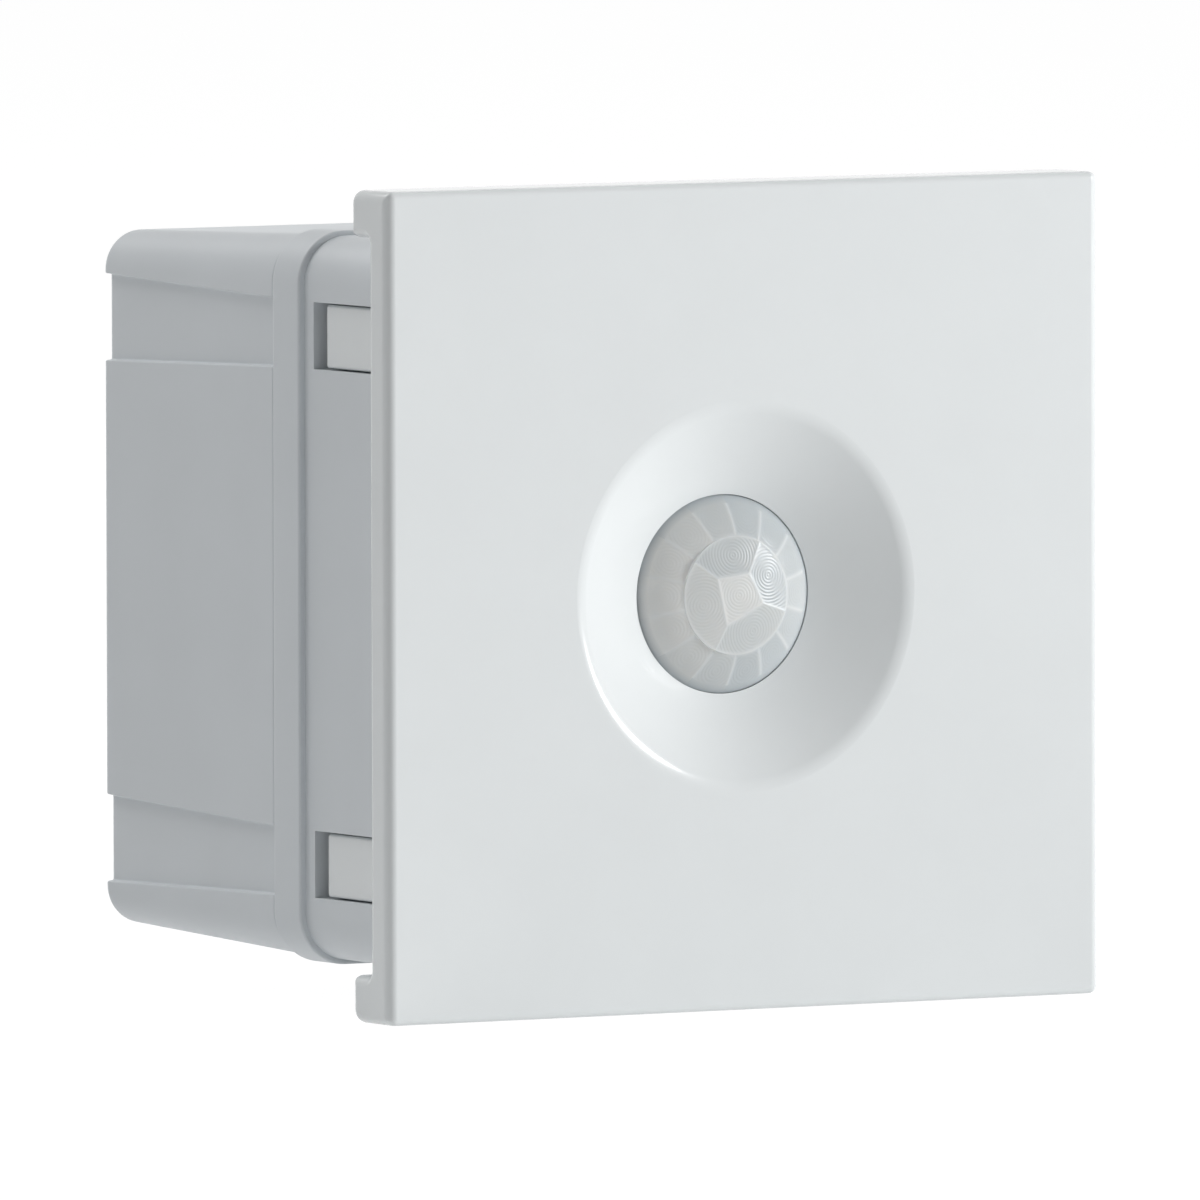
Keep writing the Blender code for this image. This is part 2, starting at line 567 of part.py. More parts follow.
def make_control_board(mat):
    obj = block("control_pcb", (-CONTROL_HALF_X, CONTROL_HALF_X), (CONTROL_BOARD_Y, CONTROL_BACK),
                (-CONTROL_HALF_Z, CONTROL_HALF_Z), mat)
    y = (CONTROL_BOARD_Y - REACH, CONTROL_BACK + REACH)
    for i, (x, z) in enumerate(sensor_pin_places()):
        cut(obj, rod(f"control_sensor_hole_{i}", SENSOR_PIN_RADIUS + GAP, y, x, z, sides=8))
    for i, (x, z) in enumerate(header_pin_places()):
        cut(obj, rod(f"control_pin_hole_{i}", HEADER_PIN_RADIUS + GAP, y, x, z, sides=8))
    return obj


def make_power_board(mat):
    obj = block("power_pcb", (-POWER_HALF_X, POWER_HALF_X), (POWER_BOARD_Y, POWER_BACK),
                (-POWER_HALF_Z, POWER_HALF_Z), mat)
    y = (POWER_BOARD_Y - REACH, POWER_BACK + REACH)
    notch_x = SCREW_X - WELL_RADIUS - POST_WALL - GAP
    notch_z = SCREW_Z - WELL_RADIUS - POST_WALL - GAP
    for i, (sx, sz) in enumerate(SIDES):
        x = sorted((sx * notch_x, sx * (POWER_HALF_X + REACH)))
        z = sorted((sz * notch_z, sz * (POWER_HALF_Z + REACH)))
        cut(obj, block(f"power_notch_{i}", x, y, z))
    for i, (x, z) in enumerate(header_pin_places()):
        cut(obj, rod(f"power_pin_hole_{i}", HEADER_PIN_RADIUS + GAP, y, x, z, sides=8))
    half = CONTACT_LEG_HALF_X + GAP
    for i, x in enumerate(POLE_X):
        cut(obj, block(f"power_slot_{i}", (x - half, x + half), y,
                       (CHAMBER_HIGH - CONTACT_THICK - 2 * GAP, CHAMBER_HIGH)))
    return obj


def make_pin_header(mat):
    """Insulated row of pins that joins the two boards."""
    half = HEADER_PINS * HEADER_PITCH / 2
    obj = block("pin_header", (-half, half), (CONTROL_BACK + GAP, POWER_BOARD_Y - GAP),
                (HEADER_Z - HEADER_PITCH / 2, HEADER_Z + HEADER_PITCH / 2), mat)
    for i, (x, z) in enumerate(header_pin_places()):
        join(obj, rod(f"header_pin_{i}", HEADER_PIN_RADIUS,
                      (CONTROL_BOARD_Y - PIN_TAIL, POWER_BACK + PIN_TAIL), x, z, sides=8))
    return obj


def make_adjuster(name, sx, body_mat, dial_mat):
    """Trimmer body on the control board, and its dial in the frame wall's hole."""
    x = sx * DIAL_X
    half = TRIMMER_SIZE / 2
    back = CONTROL_BOARD_Y - GAP
    body = block(f"{name}_trimmer_body", (x - half, x + half), (back - TRIMMER_THICK, back),
                 (DIAL_Z - half, DIAL_Z + half), body_mat)
    cut(body, rod(f"{name}_bore", DIAL_SHAFT_RADIUS + RUN_GAP, (back - TRIMMER_THICK - REACH, back + REACH),
                  x, DIAL_Z, sides=SMALL))
    dial_back = DIAL_FRONT + DIAL_THICK
    shaft_end = back - TRIMMER_THICK / 2
    profile = [(0.0, DIAL_FRONT), (DIAL_RADIUS * 0.88, DIAL_FRONT), (DIAL_RADIUS, DIAL_FRONT + GAP),
               (DIAL_RADIUS, dial_back), (DIAL_SHAFT_RADIUS, dial_back), (DIAL_SHAFT_RADIUS, shaft_end),
               (0.0, shaft_end)]
    dial = turned(f"{name}_trimmer_dial", profile, dial_mat, x, DIAL_Z, steps=ROUND)
    length = DIAL_RADIUS * 0.72
    cut(dial, block(f"{name}_dial_slot", (x - SLOT_WIDTH / 2, x + SLOT_WIDTH / 2),
                    (DIAL_FRONT - REACH, DIAL_FRONT + SLOT_DEPTH), (DIAL_Z - length, DIAL_Z + length)))


def make_terminal_block(mat):
    """Housing with one chamber for each pole, open towards the board."""
    end_x = POLE_X[-1] + CHAMBER_HALF_X + TERMINAL_WALL
    obj = block("terminal_block", (-end_x, end_x), (PART_BASE, BLOCK_REAR), (BLOCK_LOW, BLOCK_HIGH), mat)
    for i, x in enumerate(POLE_X):
        cut(obj, block(f"terminal_chamber_{i}", (x - CHAMBER_HALF_X, x + CHAMBER_HALF_X),
                       (PART_BASE - REACH, CHAMBER_END), (CHAMBER_LOW, CHAMBER_HIGH)))
        cut(obj, rod(f"terminal_driver_hole_{i}", HEAD_HOLE, (CHAMBER_END - REACH, BLOCK_REAR + REACH),
                     x, TERMINAL_SCREW_Z))
        cut(obj, block(f"terminal_wire_hole_{i}", (x - WIRE_WIDTH / 2, x + WIRE_WIDTH / 2),
                       (CLAMP_FLOOR, CONTACT_IN), (BLOCK_LOW - REACH, CHAMBER_LOW + REACH)))
    return obj


def make_terminal_pole(index, x, screw_mat, clamp_mat, contact_mat):
    """Screw, rising clamp and fixed contact of one pole."""
    tip = CONTACT_OUT + GAP
    profile = [(0.0, tip), (TERMINAL_SCREW_RADIUS * 0.7, tip),
               (TERMINAL_SCREW_RADIUS, tip + 0.3 * TERMINAL_SCREW_RADIUS), (TERMINAL_SCREW_RADIUS, HEAD_IN),
               (TERMINAL_HEAD_RADIUS, HEAD_IN), (TERMINAL_HEAD_RADIUS, HEAD_OUT), (0.0, HEAD_OUT)]
    screw = turned(f"terminal_screw_{index}", profile, screw_mat, x, TERMINAL_SCREW_Z, steps=ROUND)
    slot = TERMINAL_HEAD_RADIUS * 1.2
    cut(screw, block(f"terminal_slot_{index}", (x - slot, x + slot),
                     (HEAD_OUT - SLOT_DEPTH, HEAD_OUT + REACH),
                     (TERMINAL_SCREW_Z - SLOT_WIDTH / 2, TERMINAL_SCREW_Z + SLOT_WIDTH / 2)))
    half = CHAMBER_HALF_X - GAP
    low = CHAMBER_LOW + GAP
    high = TERMINAL_SCREW_Z + CHAMBER_BELOW - GAP
    clamp = block(f"terminal_clamp_{index}", (x - half, x + half), (CLAMP_FLOOR - CLAMP_WALL, CLAMP_TOP),
                  (low, high), clamp_mat)
    inside = half - CLAMP_WALL
    cut(clamp, block(f"clamp_space_{index}", (x - inside, x + inside), (CLAMP_FLOOR, CLAMP_TOP - CLAMP_NUT),
                     (low - REACH, high + REACH)))
    cut(clamp, rod(f"clamp_thread_{index}", TERMINAL_SCREW_RADIUS + RUN_GAP,
                   (CLAMP_TOP - CLAMP_NUT - REACH, CLAMP_TOP + REACH), x, TERMINAL_SCREW_Z))
    leg_top = CHAMBER_HIGH - GAP
    contact = block(f"terminal_contact_{index}", (x - CONTACT_HALF_X, x + CONTACT_HALF_X),
                    (CONTACT_IN, CONTACT_OUT), (low + GAP, leg_top), contact_mat)
    join(contact, block(f"contact_leg_{index}", (x - CONTACT_LEG_HALF_X, x + CONTACT_LEG_HALF_X),
                        (POWER_BOARD_Y - PIN_TAIL, CONTACT_OUT - CONTACT_THICK / 2),
                        (leg_top - CONTACT_THICK, leg_top - CONTACT_THICK / 50)))


def make_can_capacitor(mat, x, z, radius, height):
    """Upright can with a rolled groove near its base."""
    base = PART_BASE
    top = base + height
    groove = radius * 0.93
    profile = [(0.0, base), (radius, base), (radius, base + 1.2 * MM), (groove, base + 1.7 * MM),
               (radius, base + 2.2 * MM), (radius, top - 0.5 * MM), (radius - 0.5 * MM, top), (0.0, top)]
    return turned("electrolytic_capacitor", profile, mat, x, z)


def make_fuse_resistor(mat, x, z, radius, length, lift):
    """Cylinder lying along X above the power board, with fatter ends."""
    bm = bmesh.new()
    turn = Matrix.Rotation(math.pi / 2, 4, "Y")
    bmesh.ops.create_cone(bm, cap_ends=True, segments=ROUND, radius1=radius, radius2=radius,
                          depth=length, matrix=turn)
    obj = add_object("fuse_resistor", to_mesh("fuse_resistor", bm), mat)
    obj.location = (x, PART_BASE + radius + lift, z)
    smooth(obj)
    return obj


def make_varistor(mat, x, z, radius, thick):
    """Upright disc with its flat faces along Z."""
    bm = bmesh.new()
    bmesh.ops.create_cone(bm, cap_ends=True, segments=ROUND, radius1=radius, radius2=radius, depth=thick)
    obj = add_object("varistor", to_mesh("varistor", bm), mat)
    obj.location = (x, PART_BASE + radius, z)
    bevel = obj.modifiers.new("Soft edge", "BEVEL")
    bevel.width = thick * 0.3
    bevel.segments = 2
    bevel.limit_method = "ANGLE"
    smooth(obj)
    return obj


def upright(name, x, z, size, mat, base=PART_BASE):
    """Box component standing on the power board; size is along X, Y and Z."""
    return block(name, (x - size[0] / 2, x + size[0] / 2), (base, base + size[1]),
                 (z - size[2] / 2, z + size[2] / 2), mat, rear_round=0.3 * MM)


def make_inductor(mat, x, z, radius, height):
    """Drum core: two flanges with a wound waist."""
    base = PART_BASE
    flange = height * 0.14
    waist = radius * 0.86
    profile = [(0.0, base), (radius, base), (radius, base + flange), (waist, base + flange),
               (waist, base + height - flange), (radius, base + height - flange),
               (radius, base + height), (0.0, base + height)]
    return turned("inductor", profile, mat, x, z)


def make_power_parts(mats):
    """Components on the rear side of the power board; the relay stands beside the cover's rib."""
    relay = (20.0 * MM, 15.3 * MM, 10.2 * MM)
    relay_x = relay[0] / 2 + GAP + LEDGE_DEPTH - POWER_HALF_X
    upright("relay", relay_x, -4.2 * MM, relay, mats["relay"])
    upright("film_capacitor", 10.2 * MM, -5.9 * MM, (13.0 * MM, 12.0 * MM, 6.0 * MM), mats["film"])
    make_can_capacitor(mats["foil"], 12.8 * MM, 3.6 * MM, 5.0 * MM, 14.5 * MM)
    make_varistor(mats["varistor"], -14.5 * MM, 4.4 * MM, 5.0 * MM, 4.0 * MM)
    upright("bridge_rectifier", 0.0, 6.2 * MM, (8.0 * MM, 2.6 * MM, 6.5 * MM), mats["chip"])
    make_inductor(mats["ferrite"], -11.0 * MM, 13.0 * MM, 4.0 * MM, 9.0 * MM)
    make_fuse_resistor(mats["resistor"], 2.0 * MM, 15.6 * MM, 2.0 * MM, 11.0 * MM, 0.5 * MM)
    upright("voltage_regulator", 12.5 * MM, 12.5 * MM, (5.0 * MM, 1.6 * MM, 4.0 * MM), mats["chip"])


def chip_on_front(name, x, size, mat):
    """Small component on the front of the control board, level with the lens axis."""
    back = CONTROL_BOARD_Y - GAP
    return block(name, (x - size[0] / 2, x + size[0] / 2), (back - size[1], back),
                 (-size[2] / 2, size[2] / 2), mat)


def make_materials():
    return {
        "fascia": material("fascia_gloss", (0.71, 0.73, 0.735), 0.22),
        "body": material("body_satin", (0.50, 0.53, 0.55), 0.48),
        "lens": material("lens_milky", (0.62, 0.63, 0.62), 0.25),
        "holder": material("holder_plastic", (0.08, 0.08, 0.08), 0.5),
        "steel": material("steel", (0.56, 0.56, 0.57), 0.3, 1.0),
        "brass": material("brass", (0.70, 0.50, 0.22), 0.32, 1.0),
        "copper": material("tinned_copper", (0.66, 0.62, 0.56), 0.35, 1.0),
        "filter": material("filter_pane", (0.03, 0.025, 0.03), 0.12),
        "board": material("board_green", (0.02, 0.12, 0.05), 0.45),
        "chip": material("chip_black", (0.02, 0.02, 0.022), 0.5),
        "photo": material("light_sensor_clear", (0.25, 0.27, 0.26), 0.15),
        "led": material("led_red", (0.50, 0.06, 0.05), 0.2),
        "trimmer": material("trimmer_blue", (0.03, 0.10, 0.35), 0.45),
        "dial": material("dial_white", (0.75, 0.75, 0.73), 0.4),
        "terminal": material("terminal_grey", (0.22, 0.23, 0.24), 0.5),
        "relay": material("relay_black", (0.025, 0.025, 0.028), 0.35),
        "film": material("film_yellow", (0.70, 0.48, 0.05), 0.4),
        "foil": material("foil_black", (0.03, 0.03, 0.05), 0.3),
        "varistor": material("varistor_blue", (0.04, 0.14, 0.42), 0.35),
        "ferrite": material("ferrite_grey", (0.06, 0.06, 0.06), 0.6),
        "resistor": material("resistor_green", (0.10, 0.22, 0.16), 0.4),
    }


def main():
    mats = make_materials()
    make_fascia(mats["fascia"])
    make_body_frame(mats["body"])
    make_rear_cover(mats["body"])
    turned("fresnel_lens", lens_profile(), mats["lens"], steps=FINE)
    make_lens_holder(mats["holder"])
    make_sensor_can(mats["steel"])
    make_sensor_window(mats["filter"])
    make_sensor_header(mats["steel"])
    chip_on_front("light_sensor", -CHIP_OFFSET, CHIP_SENSOR, mats["photo"])
    chip_on_front("indicator_led", CHIP_OFFSET, CHIP_SENSOR, mats["led"])
    make_control_board(mats["board"])
    block("microcontroller", (-9.5 * MM, -2.5 * MM), (CONTROL_BACK + GAP, CONTROL_BACK + GAP + 1.0 * MM),
          (-6.5 * MM, 0.5 * MM), mats["chip"])
    make_pin_header(mats["chip"])
    make_power_board(mats["board"])
    make_power_parts(mats)
    make_adjuster("lux", -1, mats["trimmer"], mats["dial"])
    make_adjuster("time", 1, mats["trimmer"], mats["dial"])
    make_terminal_block(mats["terminal"])
    for i, x in enumerate(POLE_X):
        make_terminal_pole(i + 1, x, mats["steel"], mats["brass"], mats["copper"])
    for i, (x, z) in enumerate(SCREW_PLACES):
        make_case_screw(i + 1, x, z, mats["steel"])


main()
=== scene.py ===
import json
import math

import bmesh
import bpy
from mathutils import Matrix, Vector


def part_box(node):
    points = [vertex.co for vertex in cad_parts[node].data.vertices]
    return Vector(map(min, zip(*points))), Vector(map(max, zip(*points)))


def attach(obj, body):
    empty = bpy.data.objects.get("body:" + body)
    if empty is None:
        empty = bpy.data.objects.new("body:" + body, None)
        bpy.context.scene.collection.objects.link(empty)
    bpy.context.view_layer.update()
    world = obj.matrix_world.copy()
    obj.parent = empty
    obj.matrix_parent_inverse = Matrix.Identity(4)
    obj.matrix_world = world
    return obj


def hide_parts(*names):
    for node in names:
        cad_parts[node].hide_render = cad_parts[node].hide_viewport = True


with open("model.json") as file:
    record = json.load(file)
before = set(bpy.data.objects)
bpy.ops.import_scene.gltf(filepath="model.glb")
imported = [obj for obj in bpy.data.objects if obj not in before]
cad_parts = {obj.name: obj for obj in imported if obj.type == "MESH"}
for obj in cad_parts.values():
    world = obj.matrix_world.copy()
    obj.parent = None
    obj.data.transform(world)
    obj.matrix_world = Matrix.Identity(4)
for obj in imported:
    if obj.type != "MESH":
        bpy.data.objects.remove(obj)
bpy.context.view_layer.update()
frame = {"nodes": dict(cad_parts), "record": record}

# Looks of the flush-mounted motion sensor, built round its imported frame. Metres, +Z up.
# The sensor's front faces -Y, and the origin is on the lens axis at the back of the fascia.

MM = 0.001
REACH = 1.0 * MM             # how far a cutter runs past the face it opens
SUNK = REACH / 2             # how far a joined piece runs into its neighbour
GAP = 0.3 * MM               # the frame's gap between neighbours
SLIVER = 0.02 * MM           # smallest radius left where two roundings meet

# ---- places from the frame ----
fascia_low, fascia_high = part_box("fascia")
neck_low, neck_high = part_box("body_frame")
cover_low, cover_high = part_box("rear_cover")
lens_low, lens_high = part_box("fresnel_lens")
HALF = fascia_high.x
PLATE_FRONT = fascia_low.y
NECK_FRONT = neck_low.y
COLLAR_REAR = neck_high.y
COLLAR_HALF = (neck_high.x, neck_high.z)
TONGUE_FRONT = cover_low.y
BODY_DEPTH = cover_high.y
SHELL_HALF = (cover_high.x, cover_high.z)
LENS_APEX = lens_low.y
LENS_BACK = lens_high.y
LENS_FLANGE_RADIUS = lens_high.x

# ---- fascia ----
LIP_HEIGHT = 2.85 * MM
LIP_DEPTH = 2.04 * MM
FRONT_ROUND = 0.42 * MM      # long front edges
SIDE_ROUND = 0.65 * MM       # ends of the plate and of the lips
LIP_REAR_ROUND = 0.80 * MM
LIP_INNER_ROUND = 0.35 * MM
LIP_FILLET = 0.40 * MM       # between a lip and the plate's back
RECESS_RADIUS = 11.5 * MM    # cone where it meets the front plane
RECESS_DEPTH = 2.8 * MM
RIM_RADIUS = 2.2 * MM        # rounding between the cone and the front plane
RIM_STEPS = 16
RIM_PROUD = 0.005 * MM       # the rim's cutter starts this far before the front plane
HOLE_RADIUS = 6.03 * MM
HOLE_BOTTOM = 1.6 * MM       # rear end of the funnel round the lens hole
FUNNEL_WALL = 1.2 * MM
FUNNEL_FLARE = (3.0, 2.5)    # reach past the hole, in walls: inside the plate, and at its back
ARM_OUT = 23.65 * MM
ARM_THICK = 1.25 * MM
ARM_HALF = 1.92 * MM
ARM_ROUND = 0.2 * MM
WINDOW_Z = 15.93 * MM

# ---- neck and collar ----
NECK_STEP = (0.40 * MM, 0.30 * MM)   # how far the collar stands proud of the neck
COLLAR_FRONT = 9.5 * MM
CORNER_RADIUS = 2.9 * MM
NECK_WALL = 1.2 * MM
NECK_EDGE = 0.2 * MM
COLLAR_EDGE = 0.16 * MM
COLLAR_REAR_EDGE = 0.45 * MM
WALL_FRONT = 1.9 * MM        # wall across the neck that carries the lens
WALL_BACK = 3.1 * MM
WINDOW_HALF = 2.025 * MM
WINDOW_END = 8.35 * MM       # rear edge of the clip windows
ARM_SLIT = 1.15 * MM         # left open behind each arm's end
LEDGE_HALF = 5.0 * MM
LEDGE_DEPTH = 2.0 * MM
LEDGE_END = 8.6 * MM
DIAL_X = 13.5 * MM
DIAL_Z = -8.5 * MM
DIAL_HOLE = 2.8 * MM
SCALE_RADIUS = 4.1 * MM      # ring of raised marks round each dial hole
SCALE_TICKS = 11
SCALE_SPAN = math.radians(270)
TICK_HALF = (0.1 * MM, 0.45 * MM)         # half width and half length of a mark
TICK_RISE = 0.15 * MM
LENS_CLEARANCE = 6.3 * MM    # hole for the lens in the neck's wall

# ---- rear shell ----
SEAM = 0.20 * MM             # what shows of the joint between collar and shell
SHELL_EDGE = 0.25 * MM
SIDE_DRAFT = math.radians(1.9)
TOP_DRAFT = math.radians(1.75)
REAR_ROUND = 0.8 * MM
PANEL_STEP = 0.43 * MM
PANEL_SLOPE = 0.06 * MM
PANEL_ROUND = 0.10 * MM
PANEL_STEPS = 3
PANEL_EDGE = (13.88 * MM, 13.23 * MM)     # half height of the raised panel, front and rear
RECESS_TOP = (18.04 * MM, 18.59 * MM)
CAVITY_HALF = (21.35 * MM, 19.31 * MM)
TONGUE_HALF = (22.35 * MM, 20.35 * MM)
TONGUE_CORNER = 1.7 * MM
CAVITY_CORNER = 1.6 * MM
CAVITY_END = 33.6 * MM
POST_PLACE = (19.05 * MM, 17.01 * MM)
PILOT_RADIUS = 1.2 * MM
FRAME_POST = 2.0 * MM
POST_SPLIT = 12.87 * MM
PILOT_START = 6.0 * MM
THROUGH_RADIUS = 1.4 * MM
COVER_POST = 3.0 * MM
WELL_RADIUS = 2.2 * MM
HEAD_SEAT = 31.3 * MM
MOUTH_CHAMFER = 0.25 * MM
RIB_X = 20.25 * MM
RIB_START = 15.9 * MM
DRIVER_HOLE = 2.3 * MM
POLE_X = (-8.0 * MM, 0.0, 8.0 * MM)
TERMINAL_Z = -15.45 * MM
WIRE_HALF = 1.7 * MM
WIRE_Y = (20.0 * MM, 23.2 * MM)

# ---- lens ----
LENS_RADIUS = 6.0 * MM
CAP_RADIUS = 3.6 * MM        # flatter middle of the dome
CAP_DROP = 0.5 * MM
DOME_DEPTH = 2.1 * MM        # from the apex to the straight side
SHOULDER_DROP = 0.9 * MM     # linear part of the drop outside the cap
LENS_WALL = 0.6 * MM
FLANGE_FRONT = 3.4 * MM
FACET_RADIUS = 2.45 * MM     # centres of the first ring of facets
FACETS_INNER = [math.radians(a) for a in (28, 97, 193, 297)]
FACETS_OUTER = 14
OUTER_TURN = math.pi / 2 + math.pi / FACETS_OUTER     # one boundary lies straight up
OUTER_FACET_RADIUS = 4.7 * MM
FACET_FLATNESS = 0.6
RIDGE_HEIGHT = 0.014 * MM    # thin raised line between facets
RIDGE_WIDTH = 0.13 * MM
FACET_SCATTER = 5.3          # spreads the tones of neighbouring facets
TONE_AND_SHADE_MIDDLE = 0.5            # 0 is the warm colour of painted light, 1 the cool colour of painted shade painted light on the left fading to painted shade on the right, warm to cool
PAINTED_SHADE_SLOPE = 0.4             # painted change from warm on the left to cool on the right
TONE_SCATTER = 0.2           # change from facet to facet
RIDGE_SHARE = 0.35           # how much of its own colour a ridge shows
GROOVE_PITCH = 0.2 * MM
GROOVE_DEPTH = 0.011 * MM
GROOVE_END = 5.5 * MM
LENS_RINGS = 180
LENS_COLUMNS = 600
LENS_INNER_RINGS = 24

# ---- screws ----
CASE_SHANK = 1.1 * MM
CASE_PITCH = 0.9 * MM
WIRE_SHANK = 1.5 * MM
WIRE_PITCH = 0.5 * MM
CROSS_HEAD = 1.8 * MM        # head heights, with a cross and with a single slot
SLOT_HEAD = 1.6 * MM
HEAD_EDGE = 0.12 * MM        # chamfer under a head
HEAD_DOME = 0.35             # domed share of a head's height
HEAD_TURNS = [math.radians(a) for a in (15, 30, 45, 60, 72)]
HEAD_FLAT = 0.2              # flat share of a head's radius
THREAD_STEPS = 8             # rings for each turn of thread
THREAD_DEPTH = 0.1 * MM      # depth of a thread, before its share of the pitch
THREAD_SHARE = 0.18
TIP_SHARE = 0.55             # radius at the tip, as a share of the shank's
TIP_TURNS = 2                # turns of thread over which the tip widens
DRIVE_DEPTH = 0.8 * MM
DRIVE_HALF = 0.32 * MM
CROSS_REACH = 0.68           # half length of a slot, as a share of the head's radius
SLOT_REACH = 1.2

# ---- dials ----
KNURL_DEPTH = 3.1 * MM       # the knurled part, before the shaft
KNURL_TEETH = 20
TOOTH_COLUMNS = 8
FLUTE_DEPTH = 0.14 * MM
SHAFT_RADIUS = 1.0 * MM
DIAL_FRONT_EDGE = 0.35 * MM
DIAL_FRONT_STEP = 0.1 * MM   # first step of the rounded front edge
DIAL_BACK_EDGE = 0.15 * MM
DIAL_SLOT_HALF = (0.3 * MM, 1.5 * MM)
DIAL_SLOT_DEPTH = 0.8 * MM
DIAL_SLOT_ROUND = 0.05 * MM
POINTER_RADIUS = 0.22 * MM
POINTER_DEPTH = 0.3 * MM
POINTER_PLACE = 1.85 * MM

# ---- fineness ----
FINE = 192                   # points round large, middling and small turned shapes
ROUND = 64
SMALL = 32
CORNER_STEPS = 14            # steps round a corner of the body, an edge and a wide edge
EDGE_STEPS = 6
WIDE_EDGE_STEPS = 8
BLOCK_STEPS = 3
SHARP = math.radians(40)
CORNERS = [(sx, sz) for sx in (-1, 1) for sz in (-1, 1)]


# ======================================================================== mesh tools

def new_object(name, bm):
    mesh = bpy.data.meshes.new(name)
    bm.to_mesh(mesh)
    bm.free()
    obj = bpy.data.objects.new(name, mesh)
    bpy.context.scene.collection.objects.link(obj)
    return obj


def loft(name, rings):
    """Closed solid through rings with the same number of points, capped flat at both ends."""
    bm = bmesh.new()
    rows = [[bm.verts.new(point) for point in ring] for ring in rings]
    count = len(rows[0])
    for one, two in zip(rows, rows[1:]):
        for i in range(count):
            j = (i + 1) % count
            bm.faces.new((one[i], one[j], two[j], two[i]))
    bm.faces.new(rows[0][::-1])
    bm.faces.new(rows[-1])
    bmesh.ops.recalc_face_normals(bm, faces=bm.faces)
    return new_object(name, bm)


def turned(name, profile, steps=ROUND, x=0.0, z=0.0):
    """Solid turned about an axis along Y from (radius, y) points."""
    angles = [2 * math.pi * i / steps for i in range(steps)]
    rings = [[(x + r * math.cos(a), y, z + r * math.sin(a)) for a in angles] for r, y in profile]
    return loft(name, rings)


def block(name, x, y, z, rounding=0.0):
    """Box between two corners, with rounded edges."""
    bm = bmesh.new()
    bmesh.ops.create_cube(bm, size=1.0)
    size = (x[1] - x[0], y[1] - y[0], z[1] - z[0])
    middle = ((x[0] + x[1]) / 2, (y[0] + y[1]) / 2, (z[0] + z[1]) / 2)
    matrix = Matrix.Translation(middle) @ Matrix.Diagonal((*size, 1))
    bmesh.ops.transform(bm, matrix=matrix, verts=bm.verts)
    if rounding:
        bmesh.ops.bevel(bm, geom=bm.edges[:], offset=rounding, segments=BLOCK_STEPS, profile=0.5,
                        affect="EDGES", clamp_overlap=True)
    return new_object(name, bm)


def combine(target, tool, operation):
    """Boolean, applied at once; the tool is used up."""
    step = target.modifiers.new(operation, "BOOLEAN")
    step.operation = operation
    step.solver = "EXACT"
    step.object = tool
    evaluated = target.evaluated_get(bpy.context.evaluated_depsgraph_get())
    made = bpy.data.meshes.new_from_object(evaluated)
    target.modifiers.clear()
    old = target.data
    target.data = made
    made.name = target.name
    bpy.data.meshes.remove(old)
    bpy.data.objects.remove(tool)


def cut(target, tool):
    combine(target, tool, "DIFFERENCE")


def join(target, tool):
    combine(target, tool, "UNION")


def rounded_outline(corners):
    """Closed outline from (u, v, radius, steps) corners, each replaced by an arc."""
    points = []
    for i, (u, v, radius, steps) in enumerate(corners):
        here = Vector((u, v))
        back = (Vector(corners[i - 1][:2]) - here).normalized()
        ahead = (Vector(corners[(i + 1) % len(corners)][:2]) - here).normalized()
        half = back.angle(ahead) / 2
        centre = here + (back + ahead).normalized() * (radius / math.sin(half))
        spoke = here + back * (radius / math.tan(half)) - centre
        turn = math.copysign(math.pi - 2 * half, ahead.cross(back))
        for k in range(steps + 1):
            a = turn * k / steps
            points.append(centre + Matrix.Rotation(a, 2) @ spoke)
    return points


def rectangle(half, radius, y):
    """Rounded rectangle across the body, as a ring at a depth."""
    x, z = half
    corners = [(x, -z), (x, z), (-x, z), (-x, -z)]
    outline = rounded_outline([(u, v, radius, CORNER_STEPS) for u, v in corners])
    return [(u, y, v) for u, v in outline]


def quarter(y, way, radius, steps=EDGE_STEPS):
    """(y, inset) pairs round an edge, from the face at y to the side."""
    turns = [math.pi / 2 * k / steps for k in range(steps + 1)]
    return [(y + way * radius * (1 - math.cos(t)), radius * (1 - math.sin(t))) for t in turns]


def smaller(half, inset):
    return (half[0] - inset, half[1] - inset)


def prism(name, half, radius, y_front, y_back):
    return loft(name, [rectangle(half, radius, y_front), rectangle(half, radius, y_back)])


def hole(name, radius, y_in, y_out, x, z, steps=ROUND):
    """Cutter for a round hole that opens at y_out with a chamfered mouth."""
    way = math.copysign(1.0, y_out - y_in)
    wide = radius + MOUTH_CHAMFER
    return turned(name, [(radius, y_in), (radius, y_out - way * MOUTH_CHAMFER), (wide, y_out),
                         (wide, y_out + way * REACH)], steps, x, z)


def crisp(obj):
    """Smooth shading that keeps flat faces flat and real corners sharp."""
    obj.data.shade_smooth()
    obj.data.set_sharp_from_angle(angle=SHARP)
    weighted = obj.modifiers.new("flat_faces_stay_flat", "WEIGHTED_NORMAL")
    weighted.keep_sharp = True
    weighted.weight = 100
    return obj


# ======================================================================== materials

NOISE_LOW = 0.3              # most of a noise texture's values lie between these
NOISE_HIGH = 0.7
PLASTIC_IOR = 1.5
RESIN_IOR = 1.53


def graph(name):
    """New material with a Principled shader: (material, node tree, shader)."""
    mat = bpy.data.materials.new(name)
    mat.use_nodes = True
    tree = mat.node_tree
    return mat, tree, tree.nodes["Principled BSDF"]


def node(tree, kind, settings=None, **inputs):
    """New node; keyword inputs are values or the sockets that feed them."""
    made = tree.nodes.new(kind)
    for key, value in (settings or {}).items():
        setattr(made, key, value)
    for key, value in inputs.items():
        socket = made.inputs[key.replace("_", " ")]
        if isinstance(value, bpy.types.NodeSocket):
            tree.links.new(value, socket)
        else:
            socket.default_value = value
    return made


